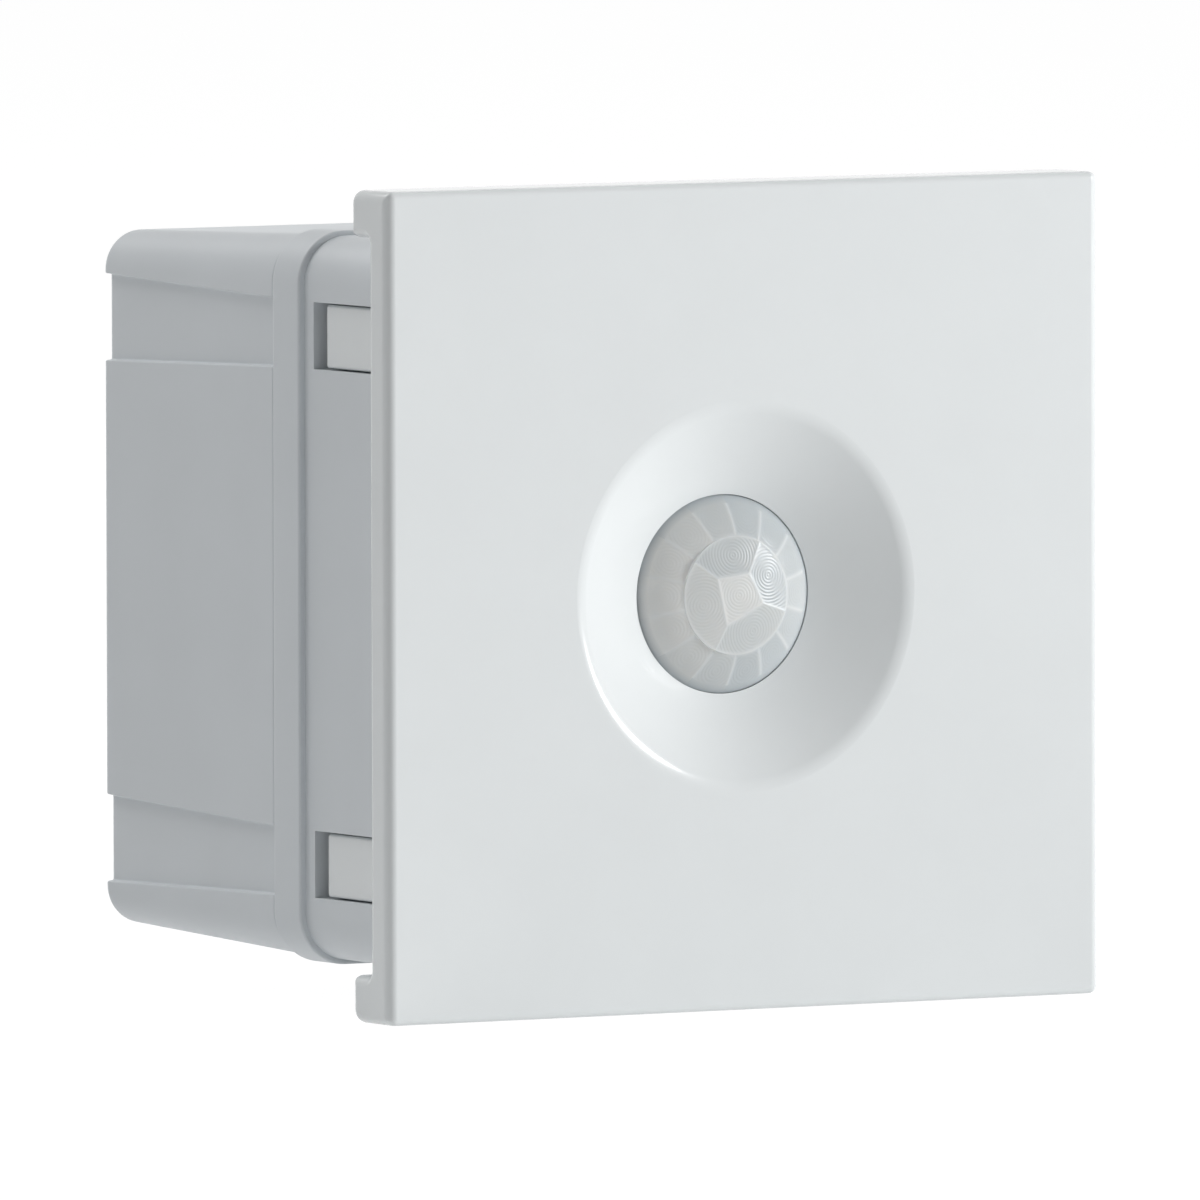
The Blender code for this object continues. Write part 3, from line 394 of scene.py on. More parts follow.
def place(tree, scale=(1, 1, 1)):
    """Object coordinates, stretched."""
    coords = tree.nodes.new("ShaderNodeTexCoord")
    mapping = node(tree, "ShaderNodeMapping", Vector=coords.outputs["Object"], Scale=scale)
    return mapping.outputs["Vector"]


def noise(tree, scale, detail=3.0, stretch=(1, 1, 1)):
    """Noise texture in object coordinates."""
    made = node(tree, "ShaderNodeTexNoise", Vector=place(tree, stretch), Scale=scale, Detail=detail,
                Roughness=0.5)
    return made.outputs["Fac"]


def ramp(tree, value, low, high, start=NOISE_LOW, end=NOISE_HIGH):
    """Two-colour ramp over a value."""
    made = node(tree, "ShaderNodeValToRGB", Fac=value)
    made.color_ramp.elements[0].position = start
    made.color_ramp.elements[0].color = (*low, 1)
    made.color_ramp.elements[1].position = end
    made.color_ramp.elements[1].color = (*high, 1)
    return made.outputs["Color"]


def span(tree, value, low, high):
    """Noise value stretched to run from low to high."""
    made = node(tree, "ShaderNodeMapRange", Value=value, From_Min=NOISE_LOW, From_Max=NOISE_HIGH,
                To_Min=low, To_Max=high)
    return made.outputs["Result"]


def bump(tree, height, distance, base=None):
    """Surface normal for a fine relief, over another one if given."""
    made = node(tree, "ShaderNodeBump", Height=height, Distance=distance, Strength=1.0)
    if base is not None:
        tree.links.new(base, made.inputs["Normal"])
    return made.outputs["Normal"]


def shade(colour, factor):
    return tuple(min(c * factor, 1.0) for c in colour)


def plastic(name, colour, roughness, grain=9000.0, relief=0.002 * MM, variation=0.02, flow=160.0):
    """Moulded plastic: faint flow variation, a fine tool texture and uneven gloss."""
    mat, tree, shader = graph(name)
    drift = noise(tree, flow, 4.0)
    tree.links.new(ramp(tree, drift, shade(colour, 1 - variation), shade(colour, 1 + variation)),
                   shader.inputs["Base Color"])
    tree.links.new(span(tree, noise(tree, flow * 4), roughness * 0.92, roughness * 1.08),
                   shader.inputs["Roughness"])
    tree.links.new(bump(tree, noise(tree, grain, 2.0), relief), shader.inputs["Normal"])
    shader.inputs["IOR"].default_value = PLASTIC_IOR
    return mat


def metal(name, colour, roughness, stretch=(1, 1, 1), grain=4000.0):
    """Worked metal: drawn or turned marks, and slight tarnish in patches."""
    mat, tree, shader = graph(name)
    tarnish = noise(tree, 500.0, 5.0)
    tree.links.new(ramp(tree, tarnish, shade(colour, 0.78), shade(colour, 1.06)),
                   shader.inputs["Base Color"])
    marks = noise(tree, grain, 3.0, stretch)
    tree.links.new(span(tree, marks, roughness * 0.75, roughness * 1.3), shader.inputs["Roughness"])
    tree.links.new(bump(tree, marks, 0.004 * MM), shader.inputs["Normal"])
    shader.inputs["Metallic"].default_value = 1.0
    return mat


def mixed(tree, factor, one, two):
    """Blend of two colours, each a value or a socket."""
    made = node(tree, "ShaderNodeMix", {"data_type": "RGBA"})
    tree.links.new(factor, made.inputs["Factor"])
    for socket, value in ((made.inputs[6], one), (made.inputs[7], two)):
        if isinstance(value, bpy.types.NodeSocket):
            tree.links.new(value, socket)
        else:
            socket.default_value = (*value, 1)
    return made.outputs[2]


def milky_lens():
    """Milky polyethylene: each facet has its own tone, over painted light on the left and painted shade
    on the right; its ridges are paler, and the rim is greyer with painted shade.
    """
    mat, tree, shader = graph("lens_milky")
    tone_and_shade = node(tree, "ShaderNodeAttribute", {"attribute_name": "tone_and_shade"}).outputs["Fac"]
    ridge = node(tree, "ShaderNodeAttribute", {"attribute_name": "ridge"}).outputs["Fac"]
    # painted light in the warm colour, painted shade in the cool one
    painted_light_cloud = ramp(tree, noise(tree, 260.0, 2.0), shade(LENS_LIT_WARM, 0.97), shade(LENS_LIT_WARM, 1.03))
    painted_shade_facets = mixed(tree, tone_and_shade, painted_light_cloud, LENS_SHADED_COOL)
    apart = node(tree, "ShaderNodeSeparateXYZ", Vector=place(tree))
    flat = node(tree, "ShaderNodeCombineXYZ", X=apart.outputs["X"], Z=apart.outputs["Z"])
    away = node(tree, "ShaderNodeVectorMath", {"operation": "LENGTH"})
    tree.links.new(flat.outputs["Vector"], away.inputs[0])
    # painted shade towards the lens's edge, where it sinks into the fascia's hole
    rim = node(tree, "ShaderNodeMapRange", Value=away.outputs["Value"], From_Min=GROOVE_END,
               From_Max=LENS_RADIUS, To_Min=0.0, To_Max=1.0)
    faint = node(tree, "ShaderNodeMath", {"operation": "MULTIPLY"})
    tree.links.new(ridge, faint.inputs[0])
    faint.inputs[1].default_value = RIDGE_SHARE
    lined = mixed(tree, faint.outputs[0], painted_shade_facets, LENS_RIDGE)
    tree.links.new(mixed(tree, rim.outputs["Result"], lined, LENS_RIM_SHADE), shader.inputs["Base Color"])
    tree.links.new(span(tree, noise(tree, 900.0), 0.28, 0.36), shader.inputs["Roughness"])
    tree.links.new(bump(tree, noise(tree, 6000.0, 2.0), 0.001 * MM), shader.inputs["Normal"])
    shader.inputs["Subsurface Weight"].default_value = 0.6
    shader.inputs["Subsurface Radius"].default_value = (1.0, 0.9, 0.8)
    shader.inputs["Subsurface Scale"].default_value = 2.0 * MM
    shader.inputs["Specular IOR Level"].default_value = 0.28
    shader.inputs["IOR"].default_value = PLASTIC_IOR
    return mat


def circuit_board():
    """Solder mask over copper: lighter where tracks run underneath, with a woven base."""
    mat, tree, shader = graph("board_green")
    turned_place = node(tree, "ShaderNodeMapping", Vector=place(tree), Rotation=(math.pi / 2, 0, 0))
    tracks = node(tree, "ShaderNodeTexBrick", {"offset": 0.37, "squash": 1.6},
                  Vector=turned_place.outputs["Vector"], Scale=420.0, Mortar_Size=0.06, Mortar_Smooth=0.2,
                  Bias=0.0)
    base = ramp(tree, tracks.outputs["Fac"], (0.012, 0.075, 0.028), (0.03, 0.16, 0.06), 0.1, 0.6)
    tree.links.new(base, shader.inputs["Base Color"])
    weave = noise(tree, 5000.0, 2.0, (1, 1, 3))
    raised = bump(tree, tracks.outputs["Fac"], 0.02 * MM)
    tree.links.new(bump(tree, weave, 0.002 * MM, base=raised), shader.inputs["Normal"])
    tree.links.new(span(tree, weave, 0.25, 0.42), shader.inputs["Roughness"])
    return mat


def clear_resin(name, colour, roughness=0.12):
    """Clear or tinted resin, with faint casting streaks."""
    mat, tree, shader = graph(name)
    streaks = noise(tree, 700.0, 3.0, (1, 4, 1))
    tree.links.new(ramp(tree, streaks, shade(colour, 0.9), shade(colour, 1.05)),
                   shader.inputs["Base Color"])
    tree.links.new(span(tree, streaks, roughness * 0.8, roughness * 1.4), shader.inputs["Roughness"])
    shader.inputs["Transmission Weight"].default_value = 0.6
    shader.inputs["IOR"].default_value = RESIN_IOR
    return mat


# lens colours: painted light in the warm one, painted shade in the cool one and in the rim's
LENS_LIT_WARM = (0.93, 0.915, 0.865)
LENS_SHADED_COOL = (0.40, 0.45, 0.48)
LENS_RIDGE = (0.88, 0.89, 0.88)
LENS_RIM_SHADE = (0.50, 0.54, 0.56)
MATERIALS = {
    "fascia_gloss": plastic("fascia_gloss", (0.785, 0.815, 0.822), 0.16, grain=14000.0,
                            relief=0.0004 * MM, variation=0.008),
    "body_satin": plastic("body_satin", (0.65, 0.685, 0.71), 0.42, grain=11000.0, relief=0.0022 * MM,
                          variation=0.015),
    "lens_milky": milky_lens(),
    "holder_plastic": plastic("holder_plastic", (0.05, 0.05, 0.052), 0.5),
    "steel": metal("steel", (0.62, 0.63, 0.65), 0.3, (1, 6, 1)),
    "brass": metal("brass", (0.78, 0.57, 0.26), 0.28, (4, 1, 1)),
    "tinned_copper": metal("tinned_copper", (0.72, 0.70, 0.66), 0.32, (1, 1, 5)),
    "filter_pane": plastic("filter_pane", (0.02, 0.018, 0.022), 0.12, relief=0.0004 * MM),
    "board_green": circuit_board(),
    "chip_black": plastic("chip_black", (0.018, 0.018, 0.02), 0.55, grain=16000.0, variation=0.12),
    "light_sensor_clear": clear_resin("light_sensor_clear", (0.80, 0.83, 0.86)),
    "led_red": clear_resin("led_red", (0.62, 0.02, 0.015), 0.18),
    "trimmer_blue": plastic("trimmer_blue", (0.03, 0.10, 0.38), 0.4, variation=0.06),
    "dial_white": plastic("dial_white", (0.80, 0.81, 0.81), 0.4),
    "terminal_grey": plastic("terminal_grey", (0.33, 0.35, 0.36), 0.45, variation=0.04),
    "relay_black": plastic("relay_black", (0.022, 0.023, 0.026), 0.38, variation=0.1),
    "film_yellow": plastic("film_yellow", (0.72, 0.46, 0.04), 0.35, variation=0.06),
    "foil_black": plastic("foil_black", (0.02, 0.022, 0.03), 0.3, variation=0.15),
    "varistor_blue": plastic("varistor_blue", (0.03, 0.16, 0.42), 0.42, grain=2500.0, relief=0.01 * MM,
                             variation=0.08),
    "ferrite_grey": plastic("ferrite_grey", (0.07, 0.07, 0.075), 0.6, grain=3000.0, relief=0.008 * MM,
                            variation=0.12),
    "resistor_green": plastic("resistor_green", (0.05, 0.20, 0.14), 0.45, grain=3000.0, relief=0.006 * MM,
                              variation=0.1),
}


def dress(obj, slot):
    """The slot's material in place of whatever the object had."""
    obj.data.materials.clear()
    obj.data.materials.append(MATERIALS[slot])


def stand_for(obj, slot, body, *nodes):
    """A finished piece: its material, body, slot and the CAD nodes that it stands for."""
    dress(obj, slot)
    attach(obj, body)
    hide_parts(*nodes)


# ======================================================================== fascia

def c_section(inset):
    """The fascia's C-shaped section (y, z), with its edges moved inwards."""
    front = PLATE_FRONT + inset
    rear = LIP_DEPTH - inset
    top = HALF - inset
    inner = HALF - LIP_HEIGHT + inset

    def outer(y, z, radius):
        return (y, z, max(radius - inset, SLIVER), EDGE_STEPS)

    def fillet(y, z):
        return (y, z, LIP_FILLET + inset, EDGE_STEPS)

    return rounded_outline([
        outer(front, -top, FRONT_ROUND), outer(rear, -top, LIP_REAR_ROUND),
        outer(rear, -inner, LIP_INNER_ROUND), fillet(-inset, -inner),
        fillet(-inset, inner), outer(rear, inner, LIP_INNER_ROUND),
        outer(rear, top, LIP_REAR_ROUND), outer(front, top, FRONT_ROUND)])


def recess_profile():
    """Cutter for the lens recess: soft rim, cone and straight hole."""
    slope = math.atan2(RECESS_DEPTH, RECESS_RADIUS - HOLE_RADIUS)
    start = RECESS_RADIUS + RIM_RADIUS * math.tan(slope / 2)
    front = PLATE_FRONT - RIM_PROUD
    turns = [slope * k / RIM_STEPS for k in range(RIM_STEPS + 1)]
    rim = [(start - RIM_RADIUS * math.sin(t), front + RIM_RADIUS * (1 - math.cos(t))) for t in turns]
    return ([(start, front - REACH)] + rim
            + [(HOLE_RADIUS, PLATE_FRONT + RECESS_DEPTH), (HOLE_RADIUS, HOLE_BOTTOM + REACH)])


def make_fascia():
    """Front plate with return lips, conical lens recess, funnel and four clip arms."""
    ends = quarter(HALF, -1, SIDE_ROUND, WIDE_EDGE_STEPS)
    stations = [(-x, inset) for x, inset in ends] + [(x, inset) for x, inset in ends[::-1]]
    obj = loft("front_fascia", [[(x, y, z) for y, z in c_section(inset)] for x, inset in stations])
    funnel = [(HOLE_RADIUS + FUNNEL_FLARE[0] * FUNNEL_WALL, PLATE_FRONT / 2),
              (HOLE_RADIUS + FUNNEL_FLARE[1] * FUNNEL_WALL, 0.0),
              (HOLE_RADIUS + FUNNEL_WALL, HOLE_BOTTOM - FUNNEL_WALL),
              (HOLE_RADIUS + FUNNEL_WALL, HOLE_BOTTOM)]
    join(obj, turned("funnel", funnel, FINE))
    for sx, sz in CORNERS:
        x = sorted((sx * (ARM_OUT - ARM_THICK), sx * ARM_OUT))
        z = (sz * WINDOW_Z - ARM_HALF, sz * WINDOW_Z + ARM_HALF)
        join(obj, block("arm", x, (PLATE_FRONT / 2, WINDOW_END - ARM_SLIT), z, ARM_ROUND))
    cut(obj, turned("recess", recess_profile(), FINE))
    stand_for(crisp(obj), "fascia_gloss", "front_plate", "fascia")


# ======================================================================== neck and collar

def make_collar_frame():
    """Neck with clip windows, proud collar, and the wall that carries the lens."""
    neck = (COLLAR_HALF[0] - NECK_STEP[0], COLLAR_HALF[1] - NECK_STEP[1])
    collar_corner = CORNER_RADIUS + NECK_STEP[1]
    rings = [rectangle(smaller(neck, inset), CORNER_RADIUS - inset, y)
             for y, inset in quarter(NECK_FRONT, 1, NECK_EDGE)]
    rings.append(rectangle(neck, CORNER_RADIUS, COLLAR_FRONT))
    edges = quarter(COLLAR_FRONT, 1, COLLAR_EDGE) + quarter(COLLAR_REAR, -1, COLLAR_REAR_EDGE)[::-1]
    rings += [rectangle(smaller(COLLAR_HALF, inset), collar_corner - inset, y) for y, inset in edges]
    obj = loft("collar_frame", rings)
    inner = smaller(neck, NECK_WALL)
    corner = CORNER_RADIUS - NECK_WALL
    cut(obj, prism("front_pocket", inner, corner, NECK_FRONT - REACH, WALL_FRONT))
    cut(obj, prism("back_pocket", inner, corner, WALL_BACK, COLLAR_REAR + REACH))
    for sx, sz in CORNERS:
        x, z = sx * POST_PLACE[0], sz * POST_PLACE[1]
        join(obj, turned("post", [(FRAME_POST, WALL_BACK - SUNK), (FRAME_POST, POST_SPLIT)],
                         ROUND, x, z))
        cut(obj, turned("pilot", [(PILOT_RADIUS, PILOT_START), (PILOT_RADIUS, POST_SPLIT + REACH)],
                        SMALL, x, z))
        x = sorted((sx * (ARM_OUT - ARM_THICK - GAP), sx * (neck[0] + REACH)))
        z = (sz * WINDOW_Z - WINDOW_HALF, sz * WINDOW_Z + WINDOW_HALF)
        cut(obj, block("window", x, (NECK_FRONT - REACH, WINDOW_END), z))
    for sx in (-1, 1):
        x = sorted((sx * (inner[0] - LEDGE_DEPTH), sx * (inner[0] + NECK_WALL / 2)))
        join(obj, block("ledge", x, (WALL_BACK - SUNK, LEDGE_END), (-LEDGE_HALF, LEDGE_HALF)))
        cut(obj, hole("dial_hole", DIAL_HOLE, WALL_BACK + REACH, WALL_FRONT, sx * DIAL_X, DIAL_Z))
        for k in range(SCALE_TICKS):
            angle = math.pi / 2 + SCALE_SPAN * (k / (SCALE_TICKS - 1) - 0.5)
            tick = block("tick", (-TICK_HALF[0], TICK_HALF[0]),
                         (WALL_FRONT - TICK_RISE, WALL_FRONT + SUNK), (-TICK_HALF[1], TICK_HALF[1]))
            spoke = Matrix.Rotation(math.pi / 2 - angle, 4, "Y")
            centre = Vector((sx * DIAL_X + SCALE_RADIUS * math.cos(angle), 0,
                             DIAL_Z + SCALE_RADIUS * math.sin(angle)))
            tick.data.transform(Matrix.Translation(centre) @ spoke)
            join(obj, tick)
    cut(obj, hole("lens_hole", LENS_CLEARANCE, WALL_BACK + REACH, WALL_FRONT, 0, 0, FINE))
    stand_for(crisp(obj), "body_satin", "body", "body_frame")


# ======================================================================== rear shell

def along(front, rear, y):
    """Value at a depth, running straight from the collar to the rear face."""
    return front + (rear - front) * (y - POST_SPLIT) / (BODY_DEPTH - POST_SPLIT)


def shell_ring(y, inset):
    """Outline of the tapered shell at a depth: raised side panels, and recesses beside them."""
    x = SHELL_HALF[0] - (y - POST_SPLIT) * math.tan(SIDE_DRAFT) - inset
    z = SHELL_HALF[1] - (y - POST_SPLIT) * math.tan(TOP_DRAFT) - inset
    panel = along(*PANEL_EDGE, y)
    top = along(*RECESS_TOP, y)
    floor = x - PANEL_STEP
    corner = min(CORNER_RADIUS - inset, z - top - 2 * PANEL_ROUND)
    side = [(u, v, PANEL_ROUND, PANEL_STEPS)
            for u, v in ((x, panel), (floor, panel + PANEL_SLOPE), (floor, top - PANEL_SLOPE), (x, top))]
    side.append((x, z, corner, CORNER_STEPS))
    upper = side + [(-u, v, r, n) for u, v, r, n in side[::-1]]
    lower = [(-u, -v, r, n) for u, v, r, n in upper]
    return [(u, y, v) for u, v in rounded_outline(upper + lower)]


def make_back_shell():
    """Tapered rear shell with side panels, screw wells, driver holes and wire holes."""
    seam = COLLAR_REAR + SEAM
    edges = quarter(seam, 1, SHELL_EDGE) + quarter(BODY_DEPTH, -1, REAR_ROUND, WIDE_EDGE_STEPS)[::-1]
    obj = loft("back_shell", [shell_ring(y, inset) for y, inset in edges])
    join(obj, prism("tongue", TONGUE_HALF, TONGUE_CORNER, TONGUE_FRONT, seam + REACH))
    cut(obj, prism("cavity", CAVITY_HALF, CAVITY_CORNER, TONGUE_FRONT - REACH, CAVITY_END))
    post_start = POST_SPLIT + GAP
    wall_middle = (CAVITY_END + BODY_DEPTH) / 2
    for sx, sz in CORNERS:
        x, z = sx * POST_PLACE[0], sz * POST_PLACE[1]
        join(obj, turned("post", [(COVER_POST, post_start), (COVER_POST, wall_middle)], ROUND, x, z))
        cut(obj, turned("through", [(THROUGH_RADIUS, post_start - REACH), (THROUGH_RADIUS, HEAD_SEAT)],
                        SMALL, x, z))
        cut(obj, hole("well", WELL_RADIUS, HEAD_SEAT - GAP, BODY_DEPTH, x, z))
    for sx in (-1, 1):
        x = sorted((sx * RIB_X, sx * (CAVITY_HALF[0] + SUNK)))
        join(obj, block("rib", x, (RIB_START, wall_middle), (-LEDGE_HALF, LEDGE_HALF)))
    for x in POLE_X:
        cut(obj, hole("driver_hole", DRIVER_HOLE, CAVITY_END - REACH, BODY_DEPTH, x, TERMINAL_Z))
        cut(obj, block("wire_hole", (x - WIRE_HALF, x + WIRE_HALF), WIRE_Y,
                       (-SHELL_HALF[1] - REACH, -CAVITY_HALF[1] + REACH)))
    stand_for(crisp(obj), "body_satin", "body", "rear_cover")


# ======================================================================== lens

def dome(radius):
    """How far the smooth dome lies behind its apex."""
    if radius <= CAP_RADIUS:
        return CAP_DROP * (radius / CAP_RADIUS) ** 2
    share = (radius - CAP_RADIUS) / (LENS_RADIUS - CAP_RADIUS)
    rest = DOME_DEPTH - CAP_DROP - SHOULDER_DROP
    return CAP_DROP + SHOULDER_DROP * share + rest * share ** 2


def facet_surface(radius, angle):
    """Flattened facets: depth behind the apex, the facet's centre, and how near its edge is."""
    if radius <= CAP_RADIUS:
        rise = 2 * CAP_DROP / CAP_RADIUS ** 2 * FACET_RADIUS
        planes = [(0.0, (0.0, 0.0))]
        for turn in FACETS_INNER:
            drop = rise * (radius * math.cos(angle - turn) - FACET_RADIUS / 2)
            planes.append((drop, (FACET_RADIUS, turn)))
        (flat, centre), runner_up = sorted(planes, reverse=True)[:2]
        edge = min(CAP_RADIUS - radius, (flat - runner_up[0]) / rise)
        return dome(radius) + (flat - dome(radius)) * FACET_FLATNESS, centre, edge
    step = 2 * math.pi / FACETS_OUTER
    turn = OUTER_TURN + step * round((angle - OUTER_TURN) / step)
    edge = min(radius - CAP_RADIUS, radius * (step / 2 - abs(angle - turn)))
    fade = min(1.0, (LENS_RADIUS - radius) / (LENS_RADIUS - GROOVE_END))
    flat = dome(radius * math.cos(angle - turn))
    return dome(radius) + (flat - dome(radius)) * FACET_FLATNESS * fade, (OUTER_FACET_RADIUS, turn), edge


def lens_front(radius, angle):
    """Front of the lens: depth behind the apex, share of a ridge between facets, and facet tone with
    painted light and shade.
    """
    depth, (centre_radius, centre_angle), edge = facet_surface(radius, angle)
    scatter = math.sin(FACET_SCATTER * (1 + centre_radius / MM + 3 * centre_angle))
    # painted light on the left of the lens, painted shade on the right
    slope = PAINTED_SHADE_SLOPE * centre_radius / LENS_RADIUS * math.cos(centre_angle)
    tone_and_shade = TONE_AND_SHADE_MIDDLE + slope + TONE_SCATTER * scatter
    if radius > GROOVE_END:
        return depth, 0.0, tone_and_shade
    spacing = math.sqrt(radius ** 2 + centre_radius ** 2
                        - 2 * radius * centre_radius * math.cos(angle - centre_angle))
    ridge = math.exp(-(edge / RIDGE_WIDTH) ** 2)
    groove = (1 - math.cos(2 * math.pi * spacing / GROOVE_PITCH)) / 2
    return depth + GROOVE_DEPTH * groove * (1 - ridge) - RIDGE_HEIGHT * ridge, ridge, tone_and_shade


def make_lens():
    """Thin milky dome, faceted and grooved in front, with a straight side and a flange."""
    angles = [2 * math.pi * i / LENS_COLUMNS for i in range(LENS_COLUMNS)]
    bm = bmesh.new()
    ridge_layer = bm.verts.layers.float.new("ridge")
    tone_and_shade_layer = bm.verts.layers.float.new("tone_and_shade")

    def ring(radius, front):
        made = []
        for a in angles:
            depth, ridge, tone_and_shade = front(radius, a)
            vert = bm.verts.new((radius * math.cos(a), LENS_APEX + depth, radius * math.sin(a)))
            vert[ridge_layer] = ridge
            vert[tone_and_shade_layer] = tone_and_shade
            made.append(vert)
        return made

    side = LENS_RADIUS - LENS_WALL
    level = [(LENS_RADIUS, FLANGE_FRONT), (LENS_FLANGE_RADIUS, FLANGE_FRONT),
             (LENS_FLANGE_RADIUS, LENS_BACK), (side, LENS_BACK), (side, LENS_APEX + DOME_DEPTH)]
    rows = [ring(LENS_RADIUS * i / LENS_RINGS, lens_front) for i in range(1, LENS_RINGS + 1)]
    rows += [ring(radius, lambda r, a, y=y: (y - LENS_APEX, 0.0, TONE_AND_SHADE_MIDDLE)) for radius, y in level]
    rows += [ring(side * (LENS_INNER_RINGS - i) / LENS_INNER_RINGS,
                  lambda r, a: (dome(r) + LENS_WALL, 0.0, TONE_AND_SHADE_MIDDLE))
             for i in range(1, LENS_INNER_RINGS)]
    apex = bm.verts.new((0, LENS_APEX, 0))
    inside = bm.verts.new((0, LENS_APEX + LENS_WALL, 0))
    for i in range(LENS_COLUMNS):
        j = (i + 1) % LENS_COLUMNS
        bm.faces.new((apex, rows[0][i], rows[0][j]))
        bm.faces.new((inside, rows[-1][j], rows[-1][i]))
    for one, two in zip(rows, rows[1:]):
        for i in range(LENS_COLUMNS):
            j = (i + 1) % LENS_COLUMNS
            bm.faces.new((one[i], two[i], two[j], one[j]))
    bmesh.ops.recalc_face_normals(bm, faces=bm.faces)
    obj = new_object("faceted_lens", bm)
    obj.data.shade_smooth()
    obj.data.set_sharp_from_angle(angle=SHARP)
    stand_for(obj, "lens_milky", "body", "fresnel_lens")


# ======================================================================== screws and dials

def make_screw(name, node_name, body, shank, pitch, cross):
    """Screw along Y with a helical thread and a domed head; it stands for a CAD screw."""
    low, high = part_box(node_name)
    x, z = (low.x + high.x) / 2, (low.z + high.z) / 2
    head = (high.x - low.x) / 2
    tip, top = low.y, high.y
    height = CROSS_HEAD if cross else SLOT_HEAD
    seat = top - height
    crest = THREAD_SHARE * pitch + THREAD_DEPTH
    steps = int((seat - tip) / (pitch / THREAD_STEPS))
    angles = [2 * math.pi * k / SMALL for k in range(SMALL)]
    rings = []
    for i in range(steps + 1):
        y = tip + (seat - tip) * i / steps
        taper = min(1.0, TIP_SHARE + (1 - TIP_SHARE) * (y - tip) / (TIP_TURNS * pitch))
        ring = []
        for k, a in enumerate(angles):
            phase = (y / pitch - k / SMALL) % 1.0
            r = (shank - crest * abs(2 * phase - 1)) * taper
            ring.append((x + r * math.cos(a), y, z + r * math.sin(a)))
        rings.append(ring)
    rise = HEAD_DOME * height
    profile = [(head - HEAD_EDGE, seat), (head, seat + HEAD_EDGE), (head, top - rise)]
    profile += [(head * math.cos(t), top - rise + rise * math.sin(t)) for t in HEAD_TURNS]
    profile.append((head * HEAD_FLAT, top))
    rings += [[(x + r * math.cos(a), y, z + r * math.sin(a)) for a in angles] for r, y in profile]
    obj = loft(name, rings)
    depth = (top - DRIVE_DEPTH, top + REACH)
    length = head * (CROSS_REACH if cross else SLOT_REACH)
    cut(obj, block("slot", (x - length, x + length), depth, (z - DRIVE_HALF, z + DRIVE_HALF)))
    if cross:
        cut(obj, block("cross_slot", (x - DRIVE_HALF, x + DRIVE_HALF), depth, (z - length, z + length)))
    stand_for(crisp(obj), "steel", body, node_name)


def make_dial(name, node_name, body):
    """Knurled trimmer dial with a driver slot and a pointer notch."""
    low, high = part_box(node_name)
    x, z = (low.x + high.x) / 2, (low.z + high.z) / 2
    radius = (high.x - low.x) / 2
    front, shaft_end = low.y, high.y
    back = front + KNURL_DEPTH
    columns = KNURL_TEETH * TOOTH_COLUMNS

    def ring(r, y, depth):
        points = []
        for k in range(columns):
            a = 2 * math.pi * k / columns
            knurled = r - depth * (0.5 - 0.5 * math.cos(KNURL_TEETH * a)) ** 2
            points.append((x + knurled * math.cos(a), y, z + knurled * math.sin(a)))
        return points

    rings = [ring(radius - DIAL_FRONT_EDGE, front, 0.0),
             ring(radius - DIAL_FRONT_STEP, front + DIAL_FRONT_STEP, FLUTE_DEPTH / 2),
             ring(radius, front + DIAL_FRONT_EDGE, FLUTE_DEPTH),
             ring(radius, back - DIAL_BACK_EDGE, FLUTE_DEPTH),
             ring(radius - DIAL_BACK_EDGE, back, FLUTE_DEPTH / 2),
             ring(SHAFT_RADIUS, back, 0.0), ring(SHAFT_RADIUS, shaft_end, 0.0)]
    obj = loft(name, rings)
    half, length = DIAL_SLOT_HALF
    cut(obj, block("slot", (x - half, x + half), (front - REACH, front + DIAL_SLOT_DEPTH),
                   (z - length, z + length), DIAL_SLOT_ROUND))
    cut(obj, turned("pointer", [(POINTER_RADIUS, front - REACH), (POINTER_RADIUS, front + POINTER_DEPTH)],
                    SMALL, x, z + POINTER_PLACE))
    stand_for(crisp(obj), "dial_white", body, node_name)


# ======================================================================== carried-over CAD nodes

def dress_cad_nodes():
    """Every CAD node that still shows takes its record slot's procedural material."""
    slots = {part["node"]: part["material_slot"] for part in frame["record"]["subparts"]}
    for name, obj in frame["nodes"].items():
        if not obj.hide_render:
            dress(obj, slots[name])


# ======================================================================== stage, lights, camera

CAMERA_AZIMUTH = math.radians(30.57)
CAMERA_ELEVATION = math.radians(3.539)
CAMERA_ROLL = math.radians(-0.1225)
CAMERA_DISTANCE = 1677.8 * MM
CAMERA_AIM = (-7.598 * MM, -0.349 * MM)   # from the origin, along the camera's right and up
CAMERA_LENS = 834.3                       # for the sensor width below, both in lens millimetres
SENSOR_WIDTH = 36.0
CLIP = (0.1, 20.0)
FLOOR_RADIUS = 6.0
FLOOR_GAP = 0.05 * MM                     # below the fascia's lower edge
FLOOR_GLOW = 0.125                        # lights the sensor from below, like a lit table
FLOOR_WHITE = (1.12, 0.85)                # brightness and share of the white in white_studio
BACKDROP_WHITE = (1.1, 1.0)
SURROUND = 0.04                           # even light from all round


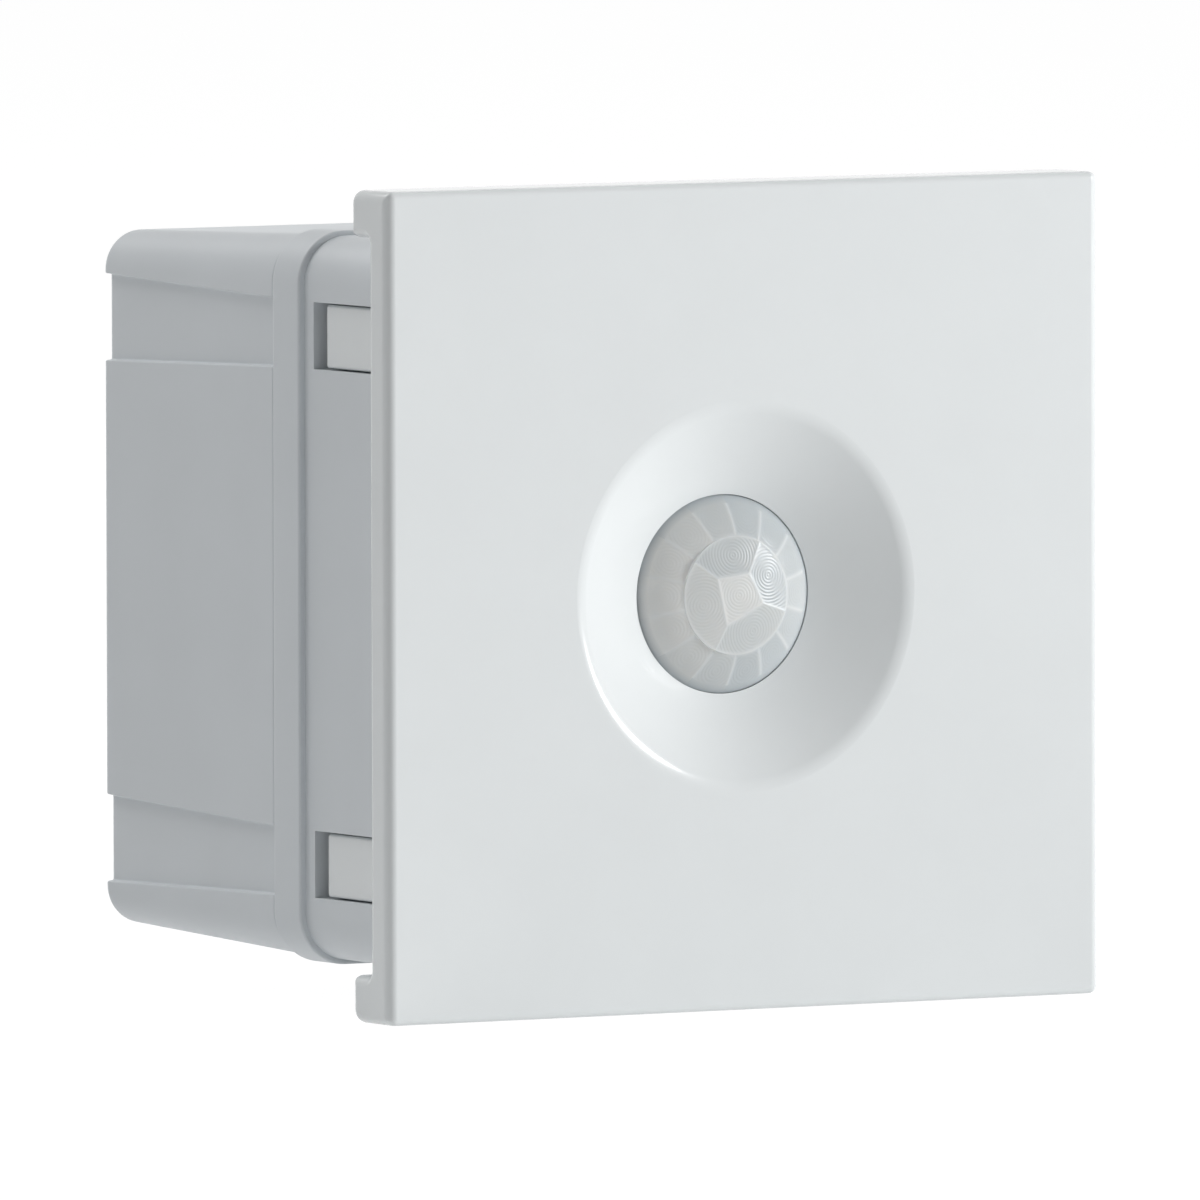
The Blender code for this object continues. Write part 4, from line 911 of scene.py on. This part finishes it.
def make_camera():
    """Long lens from the front left, nearly level with the sensor."""
    flat = math.cos(CAMERA_ELEVATION)
    back = Vector((-math.sin(CAMERA_AZIMUTH) * flat, -math.cos(CAMERA_AZIMUTH) * flat,
                   math.sin(CAMERA_ELEVATION)))
    right = Vector((0, 0, 1)).cross(back).normalized()
    roll = Matrix.Rotation(CAMERA_ROLL, 3, back)
    right = roll @ right
    up = back.cross(right)
    data = bpy.data.cameras.new("camera")
    data.lens = CAMERA_LENS
    data.sensor_width = SENSOR_WIDTH
    data.clip_start, data.clip_end = CLIP
    camera = bpy.data.objects.new("camera", data)
    turn = Matrix((right, up, back)).transposed()
    aim = right * CAMERA_AIM[0] + up * CAMERA_AIM[1]
    camera.matrix_world = Matrix.Translation(aim + back * CAMERA_DISTANCE) @ turn.to_4x4()
    bpy.context.scene.collection.objects.link(camera)
    bpy.context.scene.camera = camera


def softbox(name, towards, distance, size, power):
    """White area light that looks at the sensor from a direction."""
    data = bpy.data.lights.new(name, "AREA")
    data.shape = "RECTANGLE"
    data.size, data.size_y = size
    data.energy = power
    light = bpy.data.objects.new(name, data)
    way = Vector(towards).normalized()
    light.location = way * distance
    light.rotation_euler = way.to_track_quat("Z", "Y").to_euler()
    bpy.context.scene.collection.objects.link(light)


def white_studio(tree, other, strength, share):
    """Bright white to the camera and in reflections, by its share; all else meets the other shader."""
    path = tree.nodes.new("ShaderNodeLightPath")
    either = node(tree, "ShaderNodeMath", {"operation": "MAXIMUM"})
    tree.links.new(path.outputs["Is Camera Ray"], either.inputs[0])
    tree.links.new(path.outputs["Is Glossy Ray"], either.inputs[1])
    amount = node(tree, "ShaderNodeMath", {"operation": "MULTIPLY"})
    tree.links.new(either.outputs[0], amount.inputs[0])
    amount.inputs[1].default_value = share
    white = node(tree, "ShaderNodeEmission", Strength=strength)
    mix = tree.nodes.new("ShaderNodeMixShader")
    tree.links.new(amount.outputs[0], mix.inputs[0])
    tree.links.new(other, mix.inputs[1])
    tree.links.new(white.outputs[0], mix.inputs[2])
    return mix.outputs[0]


def make_floor():
    """Wide pale floor just under the fascia's lower edge."""
    bm = bmesh.new()
    bmesh.ops.create_circle(bm, cap_ends=True, segments=ROUND, radius=FLOOR_RADIUS)
    floor = new_object("floor", bm)
    floor.location = (0, 0, fascia_low.z - FLOOR_GAP)
    mat, tree, shader = graph("floor_pale")
    shader.inputs["Roughness"].default_value = 0.9
    shader.inputs["Specular IOR Level"].default_value = 0.1
    tree.links.new(ramp(tree, noise(tree, 0.8), (0.86, 0.86, 0.86), (0.90, 0.90, 0.90)),
                   shader.inputs["Base Color"])
    glow = node(tree, "ShaderNodeEmission", Strength=FLOOR_GLOW)
    lit = tree.nodes.new("ShaderNodeAddShader")
    tree.links.new(shader.outputs[0], lit.inputs[0])
    tree.links.new(glow.outputs[0], lit.inputs[1])
    seen = white_studio(tree, lit.outputs[0], *FLOOR_WHITE)
    tree.links.new(seen, tree.nodes["Material Output"].inputs["Surface"])
    floor.data.materials.append(mat)


def make_world():
    """Even studio surround; the backdrop itself is plain white."""
    world = bpy.data.worlds.new("studio")
    world.use_nodes = True
    tree = world.node_tree
    around = tree.nodes["Background"]
    around.inputs["Color"].default_value = (0.96, 0.98, 1.0, 1)
    around.inputs["Strength"].default_value = SURROUND
    seen = white_studio(tree, around.outputs[0], *BACKDROP_WHITE)
    tree.links.new(seen, tree.nodes["World Output"].inputs["Surface"])
    bpy.context.scene.world = world


def make_lights():
    """Each light's direction, distance and size in metres, and power in watts."""
    softbox("key_right", (0.79, -0.58, 0.20), 0.9, (0.09, 0.28), 6.8)
    softbox("left_front", (-0.75, -0.60, 0.30), 1.0, (0.60, 0.60), 0.5)
    softbox("overhead", (0.0, -0.15, 1.0), 1.0, (0.80, 0.80), 1.0)
    softbox("upper_rear", (-0.33, 0.52, 0.79), 1.0, (0.70, 0.70), 4.8)


make_camera()
make_floor()
make_world()
make_lights()
bpy.context.scene.view_settings.view_transform = "Standard"

make_fascia()
make_collar_frame()
make_back_shell()
make_lens()
for number in range(1, len(CORNERS) + 1):
    make_screw(f"post_screw_{number}", f"case_screw_{number}", "body", CASE_SHANK, CASE_PITCH, True)
for number in range(1, len(POLE_X) + 1):
    make_screw(f"wire_screw_{number}", f"terminal_screw_{number}", f"screw_{number}", WIRE_SHANK,
               WIRE_PITCH, False)
for kind in ("lux", "time"):
    make_dial(f"{kind}_dial_knob", f"{kind}_trimmer_dial", f"{kind}_dial")
dress_cad_nodes()
